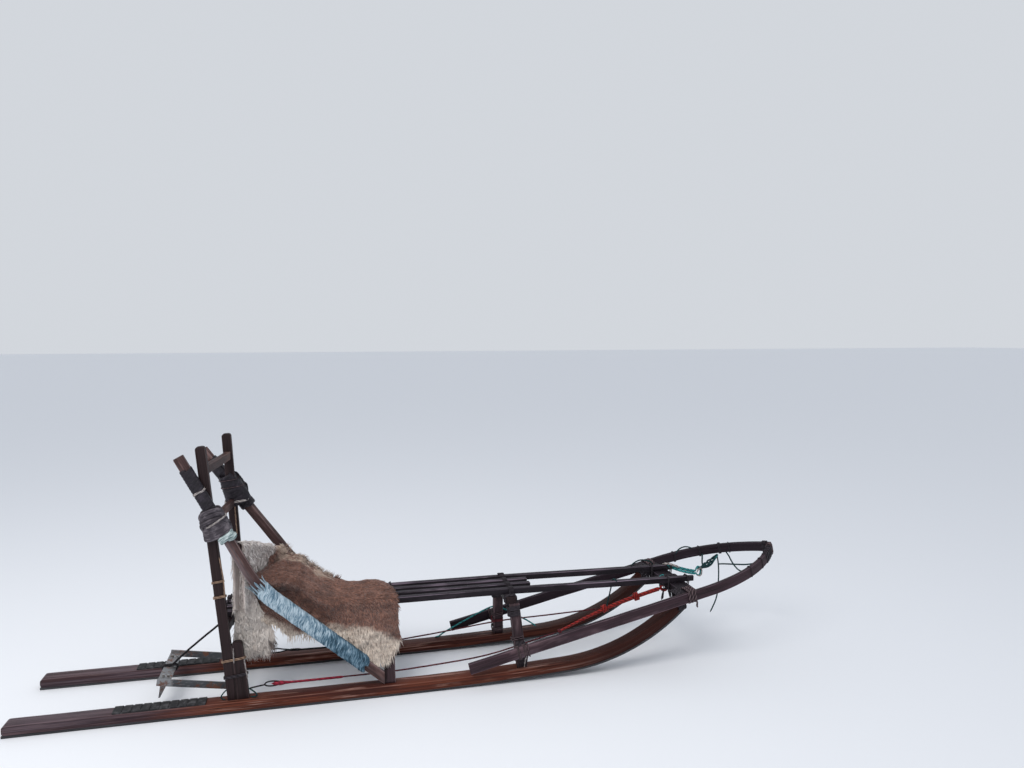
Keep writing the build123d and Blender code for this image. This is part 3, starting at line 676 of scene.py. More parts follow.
# The top is torn and bleached, and the low end is darker with wet and dirt.
upward = blue_cloth.apart(blue_cloth.place())[2]
bleached = (upward + faded * 0.10).rises(0.20, 0.46)
tone = blue_cloth.ramp((crease * 0.90 + faded * 0.35 + bleached * 0.16).rises(0.46, 0.91),
                       (0.0, (0.006, 0.026, 0.045)), (0.30, (0.036, 0.092, 0.140)),
                       (0.62, (0.13, 0.215, 0.285)), (1.0, (0.44, 0.54, 0.61)))
blue_cloth.vary("Base Color", tone)
blue_cloth.relief(crease + weave * 0.06, 0.0025)
wrap_low, wrap_high, wrap_thick = 0.135, 0.655, 0.0055
line, out = winding((wrap_low, 0, 0), (wrap_high, 0, 0), (0, 1, 0), strut_wide / 2 + wrap_thick,
                    strut_deep / 2 + wrap_thick, 40, seed=1, loose=0.07, slant=0.016)
thick = [0.0094 * (1 + 0.30 * noise.noise(Vector((i / 9, 2, 3)))) for i in range(len(line))]
wrap = rope("strut_wrap_cloth", line, np.array(thick), flat=0.50, outward=out, sides=10)
bend(wrap, strut_ways[-1])
fix(wrap, blue_cloth, "wrap_cloth", "strut_wrap")

# The wrap's torn top end: loose strips of the same cloth that stick out past the knee.
chance = np.random.default_rng(31)
for index in range(16):
    angle = index * 2.4
    y, z = 0.017 * math.cos(angle), 0.025 * math.sin(angle)
    reach = 0.020 + 0.034 * chance.random()
    line = smooth([
        (0.635, y, z), (wrap_high, y * 1.2, z * 1.15),
        (wrap_high + reach * 0.6, y * (1.1 + chance.random() * 0.6), z * 1.2),
        (wrap_high + reach, y * (1.2 + chance.random()), z * (1.0 + 0.6 * chance.random()))], 4)
    strip = rope("wrap_torn_end_%02d" % index, line, 0.0045, flat=0.3, sides=6, taper=0.012,
                 outward=[np.array((0, y, z)) / 0.03] * len(line))
    bend(strip, strut_ways[-1])
    fix(strip, blue_cloth, "wrap_cloth")

# Handle bindings: where each strut crosses its post the two are bound with cloth and tape
# over the end of the lower bar. The right has grey rag, the left a thick black tape. More
# tape and rag is wound round each strut further up and down, and ended off with cord.


def wind(name, finish, slot, start, end, across, half_across, half_up, turns, radius, body="sled",
         nodes=(), flat=1.0, sides=8, way=None, **how):
    """A cord or strip wound round a stick. With way, start and end are distances along it."""
    if way:
        start, end = (start, 0, 0), (end, 0, 0)
    line, out = winding(start, end, across, half_across + radius * flat, half_up + radius * flat,
                        turns, **how)
    cord = rope(name, line, radius, flat=flat, outward=out, sides=sides, taper=radius * 2)
    if way:
        bend(cord, way)
    return fix(cord, finish, slot, *nodes, body=body)


def cordage(name, dark, light, roughness=0.8):
    """Twisted cord: three strands run slantwise round it, once in each lay, and it is darker
    between them."""
    lay, depth = 0.02, 0.0008
    cord = Finish(name, roughness, Specular_IOR_Level=0.25)
    run, around = cord.apart(cord.place("rope"))[:2]
    strands = ((run / lay + around * 3) * (2 * math.pi)).sine()
    dirt = cord.cloud(cord.place(), 55.0, 3.0)
    fibre = cord.cloud(cord.place(), 420.0, 2.0)
    tone = cord.blend((strands * 0.30 + dirt * 0.8 + fibre * 0.35).rises(0.25, 0.95), dark, light)
    cord.vary("Base Color", tone)
    cord.relief(strands * 0.5 + fibre * 0.6, depth)
    return cord


pale_cord = cordage("cord_pale", (0.15, 0.125, 0.12), (0.52, 0.48, 0.47))
black_tape = Finish("black_cloth_tape", roughness=0.5, Specular_IOR_Level=0.3)
# Its paler patches are partly rubbed wear and partly the tape's sheen, a painted highlight.
rub_and_sheen = black_tape.cloud(black_tape.place(), 34.0, 4.0)
pucker = black_tape.cloud(black_tape.stretched(black_tape.place("rope"), (60, 14, 1)), 1.0, 4.0)
black_tape.vary("Base Color", black_tape.ramp(
    (rub_and_sheen * 0.7 + pucker * 0.5).rises(0.35, 0.95),
    (0.0, (0.004, 0.003, 0.005)), (0.6, (0.017, 0.013, 0.020)), (1.0, (0.072, 0.058, 0.077))))
black_tape.vary("Roughness", rub_and_sheen * 0.4 + 0.28)
black_tape.relief(pucker, 0.002)

grey_cloth = Finish("grey_binding_cloth", roughness=0.9)
grime = grey_cloth.cloud(grey_cloth.place(), 24.0, 4.0)
folds = grey_cloth.cloud(grey_cloth.stretched(grey_cloth.place("rope"), (45, 10, 1)), 1.0, 4.0)
threads = grey_cloth.cloud(grey_cloth.place(), 700.0, 1.0)
grey_cloth.vary("Base Color", grey_cloth.ramp(
    (grime * 0.55 + folds * 0.55 + threads * 0.1).rises(0.38, 0.85),
    (0.0, (0.020, 0.016, 0.022)), (0.5, (0.055, 0.046, 0.056)), (1.0, (0.20, 0.175, 0.195))))
grey_cloth.relief(folds + threads * 0.08, 0.002)

pale_rag = Finish("pale_green_rag", roughness=0.9)
folds = pale_rag.cloud(pale_rag.stretched(pale_rag.place("rope"), (40, 8, 1)), 1.0, 4.0)
pale_rag.vary("Base Color", pale_rag.ramp(folds.rises(0.35, 0.70), (0.0, (0.10, 0.15, 0.16)),
                                          (0.5, (0.34, 0.42, 0.42)), (1.0, (0.66, 0.74, 0.74))))
pale_rag.relief(folds, 0.003)

wind("right_binding_rag", grey_cloth, "binding_cloth", (-0.878, -0.2145, 0.702),
     (-0.907, -0.2145, 0.788), (1, 0, 0), 0.046, 0.027, 9, 0.0090, nodes=["handle_binding_right"],
     flat=0.32, loose=0.10, slant=0.012, seed=2, narrow=(1.0, 0.70))
wind("right_binding_rag_over", grey_cloth, "binding_cloth", (-0.884, -0.2150, 0.722),
     (-0.900, -0.2150, 0.772), (1, 0, 0), 0.044, 0.030, 3, 0.0085, flat=0.3, loose=0.16,
     slant=-0.030, seed=5, narrow=(1.0, 0.8))
wind("left_binding_tape", black_tape, "binding_tape", (-0.846, 0.2145, 0.752),
     (-0.898, 0.2145, 0.862), (1, 0, 0), 0.041, 0.027, 12, 0.0110, nodes=["handle_binding_left"],
     flat=0.24, loose=0.08, slant=0.012, seed=3, narrow=(1.0, 0.60))
wind("left_binding_tape_over", black_tape, "binding_tape", (-0.852, 0.2150, 0.765),
     (-0.880, 0.2150, 0.828), (1, 0, 0), 0.045, 0.030, 5, 0.0115, flat=0.22, loose=0.10,
     slant=0.035, seed=4, narrow=(1.0, 0.72))
# Name, finish, slot, side of the strut, from and to along it, turns, radius, flatness, loose
for name, finish, slot, side, start, end, turns, radius, flat, loose in (
        ("right_strut_tape", black_tape, "binding_tape", -1, 1.012, 1.205, 14, 0.0095, 0.16, 0.05),
        ("right_strut_tape_ring", pale_cord, "lashing_cord", -1, 1.104, 1.112, 2, 0.0022, 1.0,
         0.10),
        ("right_strut_rag", pale_rag, "binding_cloth", -1, 0.890, 0.918, 2.5, 0.0085, 0.5, 0.26),
        ("strut_wrap_tie", pale_cord, "lashing_cord", -1, 0.138, 0.146, 2, 0.0024, 1.0, 0.03),
        ("left_strut_tape_low", black_tape, "binding_tape", 1, 0.886, 0.965, 7, 0.0110, 0.45,
         0.16),
        ("left_strut_tape_high", black_tape, "binding_tape", 1, 1.045, 1.142, 8, 0.0105, 0.24,
         0.08)):
    wind(name, finish, slot, start, end, (0, 1, 0), strut_wide / 2, strut_deep / 2, turns, radius,
         flat=flat, loose=loose, way=strut_ways[side], seed=turns, slant=0.004)

# Rings and loose cords on the posts: turns of tarred cord that hold the rear stanchions to
# the posts, turns of tan and pale cord further up, and the ends and spare cords that are
# tied on between them. Two green loops go round the right stanchion's foot.
dark_cord = cordage("cord_tarred", (0.006, 0.005, 0.008), (0.050, 0.040, 0.048))
tan_cord = cordage("cord_tan", (0.12, 0.065, 0.045), (0.40, 0.28, 0.20))
green_cord = cordage("cord_dark_green", (0.003, 0.013, 0.016), (0.012, 0.062, 0.066))
nose_cord = cordage("cord_brown_grey", (0.018, 0.011, 0.014), (0.13, 0.088, 0.095))
# Name, finish, post's side, height, how far ahead of the post's middle the turns' middle is,
# half their depth, turns, radius
for name, finish, side, height, ahead, half, turns, radius in (
        ("post_ring_low", dark_cord, -1, 0.131, 0.021, 0.040, 3, 0.0024),
        ("post_ring_pale", tan_cord, -1, 0.196, 0.021, 0.040, 2, 0.0022),
        ("post_ring_knee", tan_cord, -1, 0.447, 0.0, 0.019, 2, 0.0026),
        ("post_ring_grey", tan_cord, -1, 0.506, 0.0, 0.019, 2, 0.0020),
        ("post_ring_left_low", dark_cord, 1, 0.131, 0.021, 0.040, 3, 0.0024),
        ("post_ring_left_high", dark_cord, 1, 0.196, 0.021, 0.040, 2, 0.0022),
        ("left_binding_ring_low", pale_cord, 1, 0.741, 0.018, 0.045, 2, 0.0026),
        ("left_binding_ring_high", nose_cord, 1, 0.836, -0.008, 0.036, 1.5, 0.0018),
        ("left_binding_ring_middle", nose_cord, 1, 0.804, 0.006, 0.044, 1.2, 0.0018)):
    foot, lean = (rear_x, 0.0973) if side < 0 else (left_rear_x, 0.0632)
    middle = Vector((foot - lean * (height - deck_z) + ahead, side * half_gauge, height))
    deep, outward = (0.033, 0.012) if "binding" in name else (0.015, 0.0)
    middle.y += side * outward
    wind(name, finish, "lashing_cord", middle, middle + Vector((-0.001, 0, 0.009)), (1, 0, 0),
         half, deep, turns, radius, loose=0.04, slant=0.003 * side, seed=turns + height)


def tie(name, finish, slot, points, radius, *nodes):
    """A taut or tied cord of three strands along a few control points."""
    cord = rope(name, smooth(points), radius, 3, radius * 8, taper=radius * 2)
    return fix(cord, finish, slot, *nodes)


# Name, finish, radius, points
for name, finish, radius, points in (
        ("post_cord_right", tan_cord, 0.0024,
         [(-0.862, -0.219, 0.449), (-0.861, -0.221, 0.50), (-0.868, -0.221, 0.56),
          (-0.878, -0.219, 0.612)]),
        ("post_cord_left", tan_cord, 0.0028,
         [(-0.862, 0.183, 0.742), (-0.858, 0.180, 0.70), (-0.856, 0.182, 0.64),
          (-0.853, 0.184, 0.60)]),
        ("stanchion_cord_rear", pale_cord, 0.0024,
         [(-0.835, -0.221, 0.252), (-0.834, -0.222, 0.22), (-0.833, -0.222, 0.192)]),
        ("stanchion_cord_front", pale_cord, 0.0026,
         [(-0.796, -0.221, 0.205), (-0.790, -0.223, 0.17), (-0.784, -0.222, 0.125)]),
        ("stanchion_foot_loop_front", green_cord, 0.0028,
         [(-0.783, -0.214, 0.085), (-0.768, -0.220, 0.078), (-0.748, -0.222, 0.058),
          (-0.756, -0.218, 0.048), (-0.776, -0.214, 0.049)]),
        ("stanchion_foot_loop_rear", green_cord, 0.0028,
         [(-0.862, -0.214, 0.088), (-0.880, -0.220, 0.074), (-0.886, -0.220, 0.054),
          (-0.868, -0.216, 0.049)]),
        ("binding_cord_right", pale_cord, 0.0032,
         [(-0.918, -0.250, 0.733), (-0.900, -0.262, 0.743), (-0.876, -0.266, 0.760),
          (-0.850, -0.250, 0.776), (-0.846, -0.215, 0.778), (-0.862, -0.170, 0.770),
          (-0.885, -0.150, 0.760)])):
    tie(name, finish, "lashing_cord", points, radius)

# Lashings at the crossings: tarred cord round the rails and slats where they lie on the
# crossbars and the nose board, and round the bow arms where they pass the front stanchions.


def square_lash(name, finish, middle, along, over, half_over, half_along, top, under, turns,
                radius):
    """A square lashing at a crossing. One stick runs along `along`, the other under it along
    `over`. half_along is half the first one's width, half_over half the other's, and top and
    under are their far faces."""
    along, over = Vector(along).normalized(), Vector(over).normalized()
    out = along.cross(over)
    corners = []
    for turn in range(turns):
        a = half_over + radius * (1 + 1.9 * turn)
        b = half_along + radius * (1 + 1.9 * turn)
        high, low = top + radius * (1 + 0.25 * turn), -under - radius * (1 + 0.25 * turn)
        for i, j, k in ((a, -b, high), (a, b, high), (a, b, low), (-a, b, low), (-a, b, high),
                        (-a, -b, high), (-a, -b, low), (a, -b, low)):
            corners.append(Vector(middle) + along * i + over * j + out * k)
    line = []
    for index in range(1, len(corners) - 1):
        here, ease = corners[index], 2.2 * radius
        before = (corners[index - 1] - here).normalized()
        after = (corners[index + 1] - here).normalized()
        line += [here + before * ease, here + (before + after) * ease * 0.28, here + after * ease]
    cord = rope(name, [tuple(p) for p in line], radius, sides=6, taper=radius * 2)
    return fix(cord, finish, "lashing_cord")


bed_underside_z = 0.335
for name, y in (("right_rail", -rail_y), ("right_slat", -slat_y), ("left_slat", slat_y),
                ("left_rail", rail_y)):
    for bar, x, half, turns in (("rear", -0.857 + 0.066 * y, 0.018, 2),
                                ("middle", middle_x, 0.022, 3)):
        square_lash("lashing_" + name + "_" + bar, dark_cord, (x, y, bed_underside_z), (1, 0, 0),
                    (0, 1, 0), half, 0.015, 0.025, 0.030, turns, 0.0018)
# At the front crossbar one bunch of cord runs over all four and dips to the bar between them.
# Its course over one of them: across and up
over_slat = ((-0.0200, 0.3375), (-0.0170, 0.3480), (-0.0165, 0.3630), (0.0, 0.3632),
             (0.0165, 0.3630), (0.0170, 0.3480), (0.0200, 0.3375))
for index in range(5):
    x = 0.2925 + index * 0.0042
    line = [(x, -0.124, 0.3365)]
    for y in (-rail_y, -slat_y, slat_y, rail_y):
        line += [(x, y + step, z + 0.0004 * (index % 2)) for step, z in over_slat]
    tie("lashing_over_slats_%d" % index, dark_cord, "lashing_cord", line + [(x, 0.124, 0.3365)],
        0.0024)
wind("lashing_knot_over_rail", dark_cord, "lashing_cord", (0.288, 0.096, 0.3600),
     (0.312, 0.096, 0.3600), (0, 1, 0), 0.0045, 0.0030, 6, 0.0030, loose=0.1, seed=2)
# The dark turns at the front crossbar's ends are a lashing that also stands for the shade round
# the stanchions' tops: partly a painted shade.
for name, side in (("right", -1), ("left", 1)):
    wind("lashing_bar_end_" + name, dark_cord, "lashing_cord",
         (front_bar_x, side * 0.139, crossbar_z), (front_bar_x, side * 0.112, crossbar_z),
         (1, 0, 0), 0.022, 0.015, 6, 0.0026, loose=0.04, seed=side + 6)
red_line = cordage("line_dark_red", (0.035, 0.006, 0.010), (0.17, 0.030, 0.040))
for name, side, x, rake in front_feet:
    along_arm = (x - 0.012 - arm_x) / math.cos(slope)
    z = arm_z + along_arm * math.sin(slope)
    x = x + rake * (z - deck_z) / stanchion_rise
    # A bundle of turns fills the gap between the arm and the stanchion.
    wind("bow_lashing_core_" + name, dark_cord, "lashing_cord", (x, side * 0.180, z),
         (x, side * 0.237, z), (1, 0, 0), 0.015, 0.015, 8, 0.0036, nodes=["bow_lashing_" + name],
         loose=0.04, seed=x * 40)
    # Name, from and to along the arm, turns, finish
    for part, start, end, turns, finish in (
            ("turns_rear", -0.024, -0.012, 2, nose_cord),
            ("turns_fore", 0.002, 0.016, 2, nose_cord),
            ("turns_pale", 0.022, 0.028, 1.5, nose_cord)):
        wind("bow_lashing_" + part + "_" + name, finish, "lashing_cord", along_arm + start,
             along_arm + end, (0, 1, 0), arm_wide / 2, arm_thick / 2, turns, 0.0028,
             way=bow_ways[side], loose=0.05, seed=turns + x)
    lean_in = Vector((rake, -side * stanchion_in, stanchion_rise)).normalized()
    # The dark top and head turns are a lashing that also stands for the shade on the stanchions'
    # tops: partly a painted shade.
    # Name, finish, height, turns. Only the left stanchion has the red ones.
    for part, finish, height, turns in (("over", nose_cord, 0.168, 2),
                                        ("foot", nose_cord, 0.086, 3),
                                        ("top", dark_cord, 0.270, 6),
                                        ("head", dark_cord, 0.292, 6),
                                        ("red", red_line, 0.132, 2)):
        if part == "red" and side < 0:
            continue
        middle = Vector((x, side * half_gauge, deck_z)) + lean_in * (height - deck_z)
        middle -= Vector((0, side * 0.004, 0))
        wind("stanchion_turns_" + part + "_" + name, finish, "lashing_cord",
             middle - lean_in * 0.009, middle + lean_in * 0.009, (1, 0, 0), 0.022, 0.014, turns,
             0.0026, loose=0.05, slant=0.003, seed=turns * x)
    for index in range(6):
        far = x - 0.019 + index * 0.0075
        tie("stanchion_foot_cord_%s_%d" % (name, index), dark_cord if index != 4 else pale_cord,
            "lashing_cord", [(far, side * 0.240, z - 0.020), (far + 0.001, side * 0.232, 0.094),
                             (far - 0.001, side * 0.220, 0.062), (far, side * 0.214, 0.047)],
            0.0027)

# The rails' tips on the nose board, and the nose: three turns of cord bind each bow arm, the
# nose board's end and the runner's tip together.
for name, side in (("right", -1), ("left", 1)):
    square_lash("lashing_" + name + "_rail_nose", dark_cord, (nose_x, side * rail_y, 0.324),
                (1, 0, 0), (0, 1, 0), 0.040, 0.013, 0.024, 0.034, 3, 0.0024)
    wind("nose_lashing_" + name, nose_cord, "lashing_cord", (1.066, side * 0.224, 0.304),
         (1.106, side * 0.224, 0.312), (0, 1, 0), 0.034, 0.0235, 3, 0.0060, loose=0.03,
         slant=0.006, seed=side + 4, square=0.45, flat=0.55)
    tie("nose_lashing_end_" + name, nose_cord, "lashing_cord", [
        (1.100, side * 0.262, 0.300), (1.106, side * 0.265, 0.284), (1.104, side * 0.262, 0.268),
        (1.112, side * 0.256, 0.258)], 0.0042)
    wind("nose_lashing_inner_" + name, dark_cord, "lashing_cord", (1.022, side * 0.2025, 0.278),
         (1.060, side * 0.2025, 0.287), (0, 1, 0), 0.0365, 0.033, 6, 0.0034, loose=0.07,
         slant=0.004, seed=side + 9)

# Tow bridles: a line runs forward from the foot of each rear stanchion and the two meet at
# the elastic shock cord, which is knotted to the nose board. Each has a spliced eye at its
# rear end, and the right one wears a red sleeve there.
black_line = cordage("line_black", (0.004, 0.004, 0.005), (0.022, 0.018, 0.022))
red_sleeve = cordage("line_red_sleeve", (0.13, 0.006, 0.018), (0.38, 0.020, 0.050), roughness=0.55)
# Name, finish, nodes it stands for, radius, points
for name, finish, nodes, radius, points in (
        ("bridle_right_tail", black_line, (), 0.0032,
         [(-0.783, -0.190, 0.072), (-0.755, -0.172, 0.070), (-0.722, -0.1595, 0.068)]),
        ("bridle_right_line", red_line, ("bridle_right",), 0.0034,
         [(-0.640, -0.159, 0.068), (-0.40, -0.1585, 0.067), (-0.233, -0.1585, 0.068),
          (-0.05, -0.156, 0.076), (0.179, -0.150, 0.090), (0.36, -0.098, 0.107),
          (0.534, -0.045, 0.124)]),
        ("bridle_left_tail", black_line, ("bridle_left",), 0.0032,
         [(-0.768, 0.190, 0.076), (-0.750, 0.172, 0.078), (-0.728, 0.160, 0.078)]),
        ("bridle_left_line", black_line, (), 0.0042,
         [(-0.640, 0.159, 0.074), (-0.50, 0.1585, 0.071), (-0.35, 0.1585, 0.070),
          (-0.18, 0.158, 0.073)]),
        ("bridle_left_fore_line", red_line, (), 0.0034,
         [(-0.20, 0.158, 0.073), (0.0, 0.155, 0.090), (0.309, 0.150, 0.128), (0.50, 0.085, 0.155),
          (0.766, -0.006, 0.200)])):
    tie(name, finish, "tow_line", points, radius, *nodes)
# A spliced eye, from its neck back round to its neck: along the line and up
eye = ((0.086, 0), (0.060, 0.004), (0.030, 0.011), (0.004, 0.009), (-0.006, 0), (0.004, -0.008),
       (0.030, -0.010), (0.060, -0.004), (0.086, 0))
for side, name, start in ((-1, "right", -0.722), (1, "left", -0.728)):
    y, z = side * 0.159, 0.069 if side < 0 else 0.077
    tie("bridle_eye_" + name, black_line, "tow_line",
        [(start + along, y, z + up) for along, up in eye], 0.0030)
sleeve = smooth([(-0.700, -0.159, 0.069), (-0.66, -0.159, 0.068), (-0.56, -0.159, 0.067),
                 (-0.412, -0.1585, 0.067)], 14)
thick = [0.0052 + 0.0042 * math.exp(-((x + 0.668) / 0.022) ** 2) for x, y, z in sleeve]
fix(rope("bridle_right_sleeve", sleeve, np.array(thick), strands=2, lay=0.05, sides=12,
         taper=0.012), red_sleeve, "tow_line")
whip = smooth([(-0.655, 0.159, 0.076), (-0.62, 0.159, 0.074), (-0.585, 0.159, 0.073)], 8)
fix(rope("bridle_left_splice", whip, 0.0062, strands=3, lay=0.03, sides=10, taper=0.02),
    black_line, "tow_line")

# Shock cord: stretchy braided cord from the bridles to the nose board, thicker towards the
# front, with a stopper knot part of the way and a knot round the nose board's rear edge.
orange_cord = cordage("shock_cord_orange", (0.11, 0.006, 0.007), (0.42, 0.028, 0.020),
                      roughness=0.6)
line = smooth([(0.532, -0.0455, 0.1235), (0.66, -0.032, 0.170), (0.808, -0.018, 0.215),
               (0.93, -0.008, 0.244), (1.052, 0, 0.269)], 12)
thick = [0.0056 + 0.0042 * min(1, max(0, (x - 0.58) / 0.26)) for x, y, z in line]
fix(rope("shock_cord_braid", line, np.array(thick), strands=4, lay=0.03, sides=12, taper=0.01),
    orange_cord, "shock_cord", "shock_cord")
for name, middle, along, size, turns, finish, nodes in (
        ("shock_cord_knot", (0.924, -0.008, 0.242), (1, 0.05, 0.27), 0.0115, 3, orange_cord, ()),
        ("bridle_join_right", (0.540, -0.045, 0.126), (1, 0.1, 0.3), 0.006, 4, red_line, ()),
        ("bridle_join_left", (0.764, -0.018, 0.202), (1, 0.1, 0.3), 0.0105, 4, orange_cord, ()),
        ("tow_knot_turns", (1.066, 0, 0.272), (0.25, 1, 0.2), 0.011, 3, orange_cord,
         ("tow_knot",))):
    middle, along = Vector(middle), Vector(along).normalized()
    wind(name, finish, "shock_cord", middle - along * size, middle + along * size,
         (0, 0, 1) if turns == 3 else (0, 1, 0), size * 0.8, size * 0.8, turns, size * 0.42,
         nodes=nodes, square=0.95, loose=0.10, seed=size * 300)
wind("tow_knot_round_board", dark_cord, "lashing_cord", (nose_x, -0.014, nose_z),
     (nose_x, 0.014, nose_z), (1, 0, 0), 0.040, 0.0175, 2.5, 0.0040, loose=0.05, slant=0.004,
     seed=7, sides=10)
for name, points in (
        ("tow_knot_tail_low", [(1.062, -0.010, 0.262), (1.056, -0.016, 0.252),
                               (1.050, -0.018, 0.236), (1.048, -0.018, 0.218)]),
        ("tow_knot_tail_side", [(1.068, 0.010, 0.262), (1.071, 0.013, 0.248),
                                (1.068, 0.012, 0.230), (1.067, 0.010, 0.212)])):
    tie(name, dark_cord, "lashing_cord", points, 0.0042)

# Small teal and dark green cords: tethers and spare line, knotted on by hand about the nose,
# the rails and the bow. Each goes from one tie to the next, and a few turns of thin cord or
# tape hold their ends to the bow's arms.
teal_cord = cordage("cord_teal", (0.008, 0.075, 0.080), (0.060, 0.38, 0.39))
# Name, finish, radius, points
for name, finish, radius, points in (
        ("teal_tether_nose", teal_cord, 0.0066,
         [(1.116, 0.110, 0.332), (1.120, 0.100, 0.347), (1.132, 0.080, 0.351),
          (1.156, 0.060, 0.346), (1.200, 0.052, 0.333), (1.240, 0.054, 0.322),
          (1.262, 0.060, 0.318)]),
        ("teal_tether_nose_second", teal_cord, 0.0060,
         [(1.124, 0.112, 0.326), (1.130, 0.100, 0.338), (1.142, 0.074, 0.338),
          (1.166, 0.052, 0.331), (1.206, 0.042, 0.320), (1.246, 0.050, 0.310),
          (1.262, 0.058, 0.306)]),
        ("pale_tether_end", pale_cord, 0.0056,
         [(1.104, 0.098, 0.352), (1.122, 0.078, 0.360), (1.146, 0.058, 0.354),
          (1.170, 0.046, 0.346)]),
        ("teal_tether_ring", teal_cord, 0.0040,
         [(1.256, 0.056, 0.318), (1.268, 0.066, 0.338), (1.288, 0.074, 0.334),
          (1.292, 0.070, 0.312), (1.280, 0.058, 0.296), (1.262, 0.050, 0.300),
          (1.254, 0.052, 0.316)]),
        ("pale_tether_ring", pale_cord, 0.0036,
         [(1.262, 0.052, 0.312), (1.276, 0.060, 0.330), (1.296, 0.068, 0.326),
          (1.296, 0.064, 0.304), (1.280, 0.052, 0.292), (1.264, 0.046, 0.300)]),
        ("bow_line_to_right", green_cord, 0.0036,
         [(1.475, 0.160, 0.372), (1.470, 0.120, 0.364), (1.445, 0.050, 0.356),
          (1.415, -0.050, 0.352), (1.392, -0.130, 0.362), (1.391, -0.160, 0.372),
          (1.400, -0.184, 0.377)]),
        ("bow_line_to_tip", green_cord, 0.0038,
         [(1.438, 0.166, 0.309), (1.437, 0.105, 0.327), (1.436, 0.045, 0.343),
          (1.438, -0.020, 0.360), (1.446, -0.075, 0.374), (1.459, -0.112, 0.387),
          (1.481, -0.136, 0.397)]),
        ("bow_arch_over_left", green_cord, 0.0034,
         [(1.226, 0.238, 0.330), (1.237, 0.236, 0.358), (1.258, 0.232, 0.384),
          (1.290, 0.228, 0.393), (1.325, 0.222, 0.382), (1.346, 0.214, 0.362)]),
        ("bow_short_drop", green_cord, 0.0042,
         [(1.366, 0.198, 0.358), (1.361, 0.188, 0.351), (1.349, 0.165, 0.341),
          (1.330, 0.130, 0.334), (1.314, 0.090, 0.330)]),
        ("teal_tether_loop", teal_cord, 0.0030,
         [(1.052, 0.010, 0.270), (1.044, 0.004, 0.295), (1.044, -0.004, 0.330),
          (1.058, -0.010, 0.336), (1.066, -0.014, 0.328)]),
        ("rail_arch_cord", green_cord, 0.0034,
         [(0.944, 0.105, 0.352), (0.952, 0.098, 0.368), (0.985, 0.092, 0.384),
          (1.020, 0.092, 0.378), (1.047, 0.096, 0.366), (1.056, 0.106, 0.350)]),
        ("rail_teal_cord", teal_cord, 0.0030,
         [(0.732, 0.108, 0.338), (0.745, 0.110, 0.326), (0.80, 0.108, 0.322), (0.86, 0.108, 0.326),
          (0.883, 0.108, 0.338)]),
        ("rail_dark_tether", green_cord, 0.0032,
         [(0.790, -0.108, 0.352), (0.780, -0.104, 0.366), (0.777, -0.084, 0.358),
          (0.776, -0.070, 0.315), (0.773, -0.040, 0.250), (0.770, -0.026, 0.204)]),
        ("left_arm_teal_cord", teal_cord, 0.0036,
         [(0.010, 0.226, 0.0464), (0.028, 0.223, 0.0470), (0.046, 0.220, 0.064),
          (0.106, 0.214, 0.096), (0.254, 0.200, 0.172), (0.296, 0.192, 0.184),
          (0.340, 0.186, 0.166), (0.400, 0.190, 0.128), (0.452, 0.190, 0.100),
          (0.493, 0.180, 0.070)])):
    tie(name, finish, "lashing_cord", points, radius)
# Name, finish, side, from and to along the arm, turns, radius, loose
for name, finish, side, start, end, turns, radius, loose in (
        ("bow_tape_right", black_tape, -1, 1.500, 1.612, 5, 0.0052, 0.02),
        ("bow_ties_left", dark_cord, 1, 1.398, 1.410, 3, 0.0024, 0.05),
        ("bow_line_ties_left", dark_cord, 1, 1.448, 1.453, 1.5, 0.0018, 0.05),
        ("bow_line_ties_right", dark_cord, -1, 1.352, 1.357, 1.5, 0.0016, 0.05),
        ("bow_tip_line_ties_right", dark_cord, -1, 1.452, 1.457, 1.5, 0.0016, 0.05),
        ("bow_arch_ties_left", dark_cord, 1, 1.168, 1.173, 1.5, 0.0022, 0.05),
        ("bow_arch_ties_left_fore", dark_cord, 1, 1.300, 1.305, 1.5, 0.0022, 0.05),
        ("bow_tip_binding_right", nose_cord, -1, 1.618, 1.642, 5, 0.0028, 0.04),
        ("bow_tip_binding_left", dark_cord, 1, 1.618, 1.642, 5, 0.0028, 0.04)):
    wind(name, finish, "lashing_cord", start, end, (0, 1, 0), arm_wide / 2, arm_thick / 2, turns,
         radius, loose=loose, way=bow_ways[side], seed=turns * 2, slant=0.003,
         flat=0.35 if finish is black_tape else 1.0)

# A hank of the same dark green line, twisted up on itself, is tied to the left bow arm. Its
# spare end hangs down inside the bow.
top, low = Vector((1.432, 0.163, 0.358)), Vector((1.272, 0.062, 0.326))
across = (low - top).cross(Vector((0, 0, 1))).normalized()
above = across.cross(low - top).normalized()
per_strand = 24
for index, finish in enumerate((green_cord, green_cord, teal_cord, green_cord, green_cord)):
    line = []
    for step in range(per_strand + 1):
        share = step / per_strand
        middle_thick = 0.0075 + 0.0030 * (index % 2)
        swell = 0.0036 + middle_thick * math.sin(math.pi * min(1, share * 1.15)) ** 2
        angle = 1.26 * index + share * 5
        line.append(top.lerp(low, share) + across * math.cos(angle) * swell
                    + above * (math.sin(angle) * swell - 0.010 * math.sin(math.pi * share)))
    tie("bow_hank_strand_%d" % index, finish, "lashing_cord", line,
        0.0036 if index == 2 else 0.0044)
hanging = smooth([
    (1.430, 0.163, 0.352), (1.437, 0.165, 0.325), (1.442, 0.166, 0.270), (1.440, 0.166, 0.210),
    (1.436, 0.165, 0.160), (1.422, 0.165, 0.112), (1.396, 0.165, 0.066)], 10)
tail = fix(rope("bow_hank_tail", hanging, 0.0035, 3, 0.024, taper=0.006), green_cord,
           "lashing_cord")

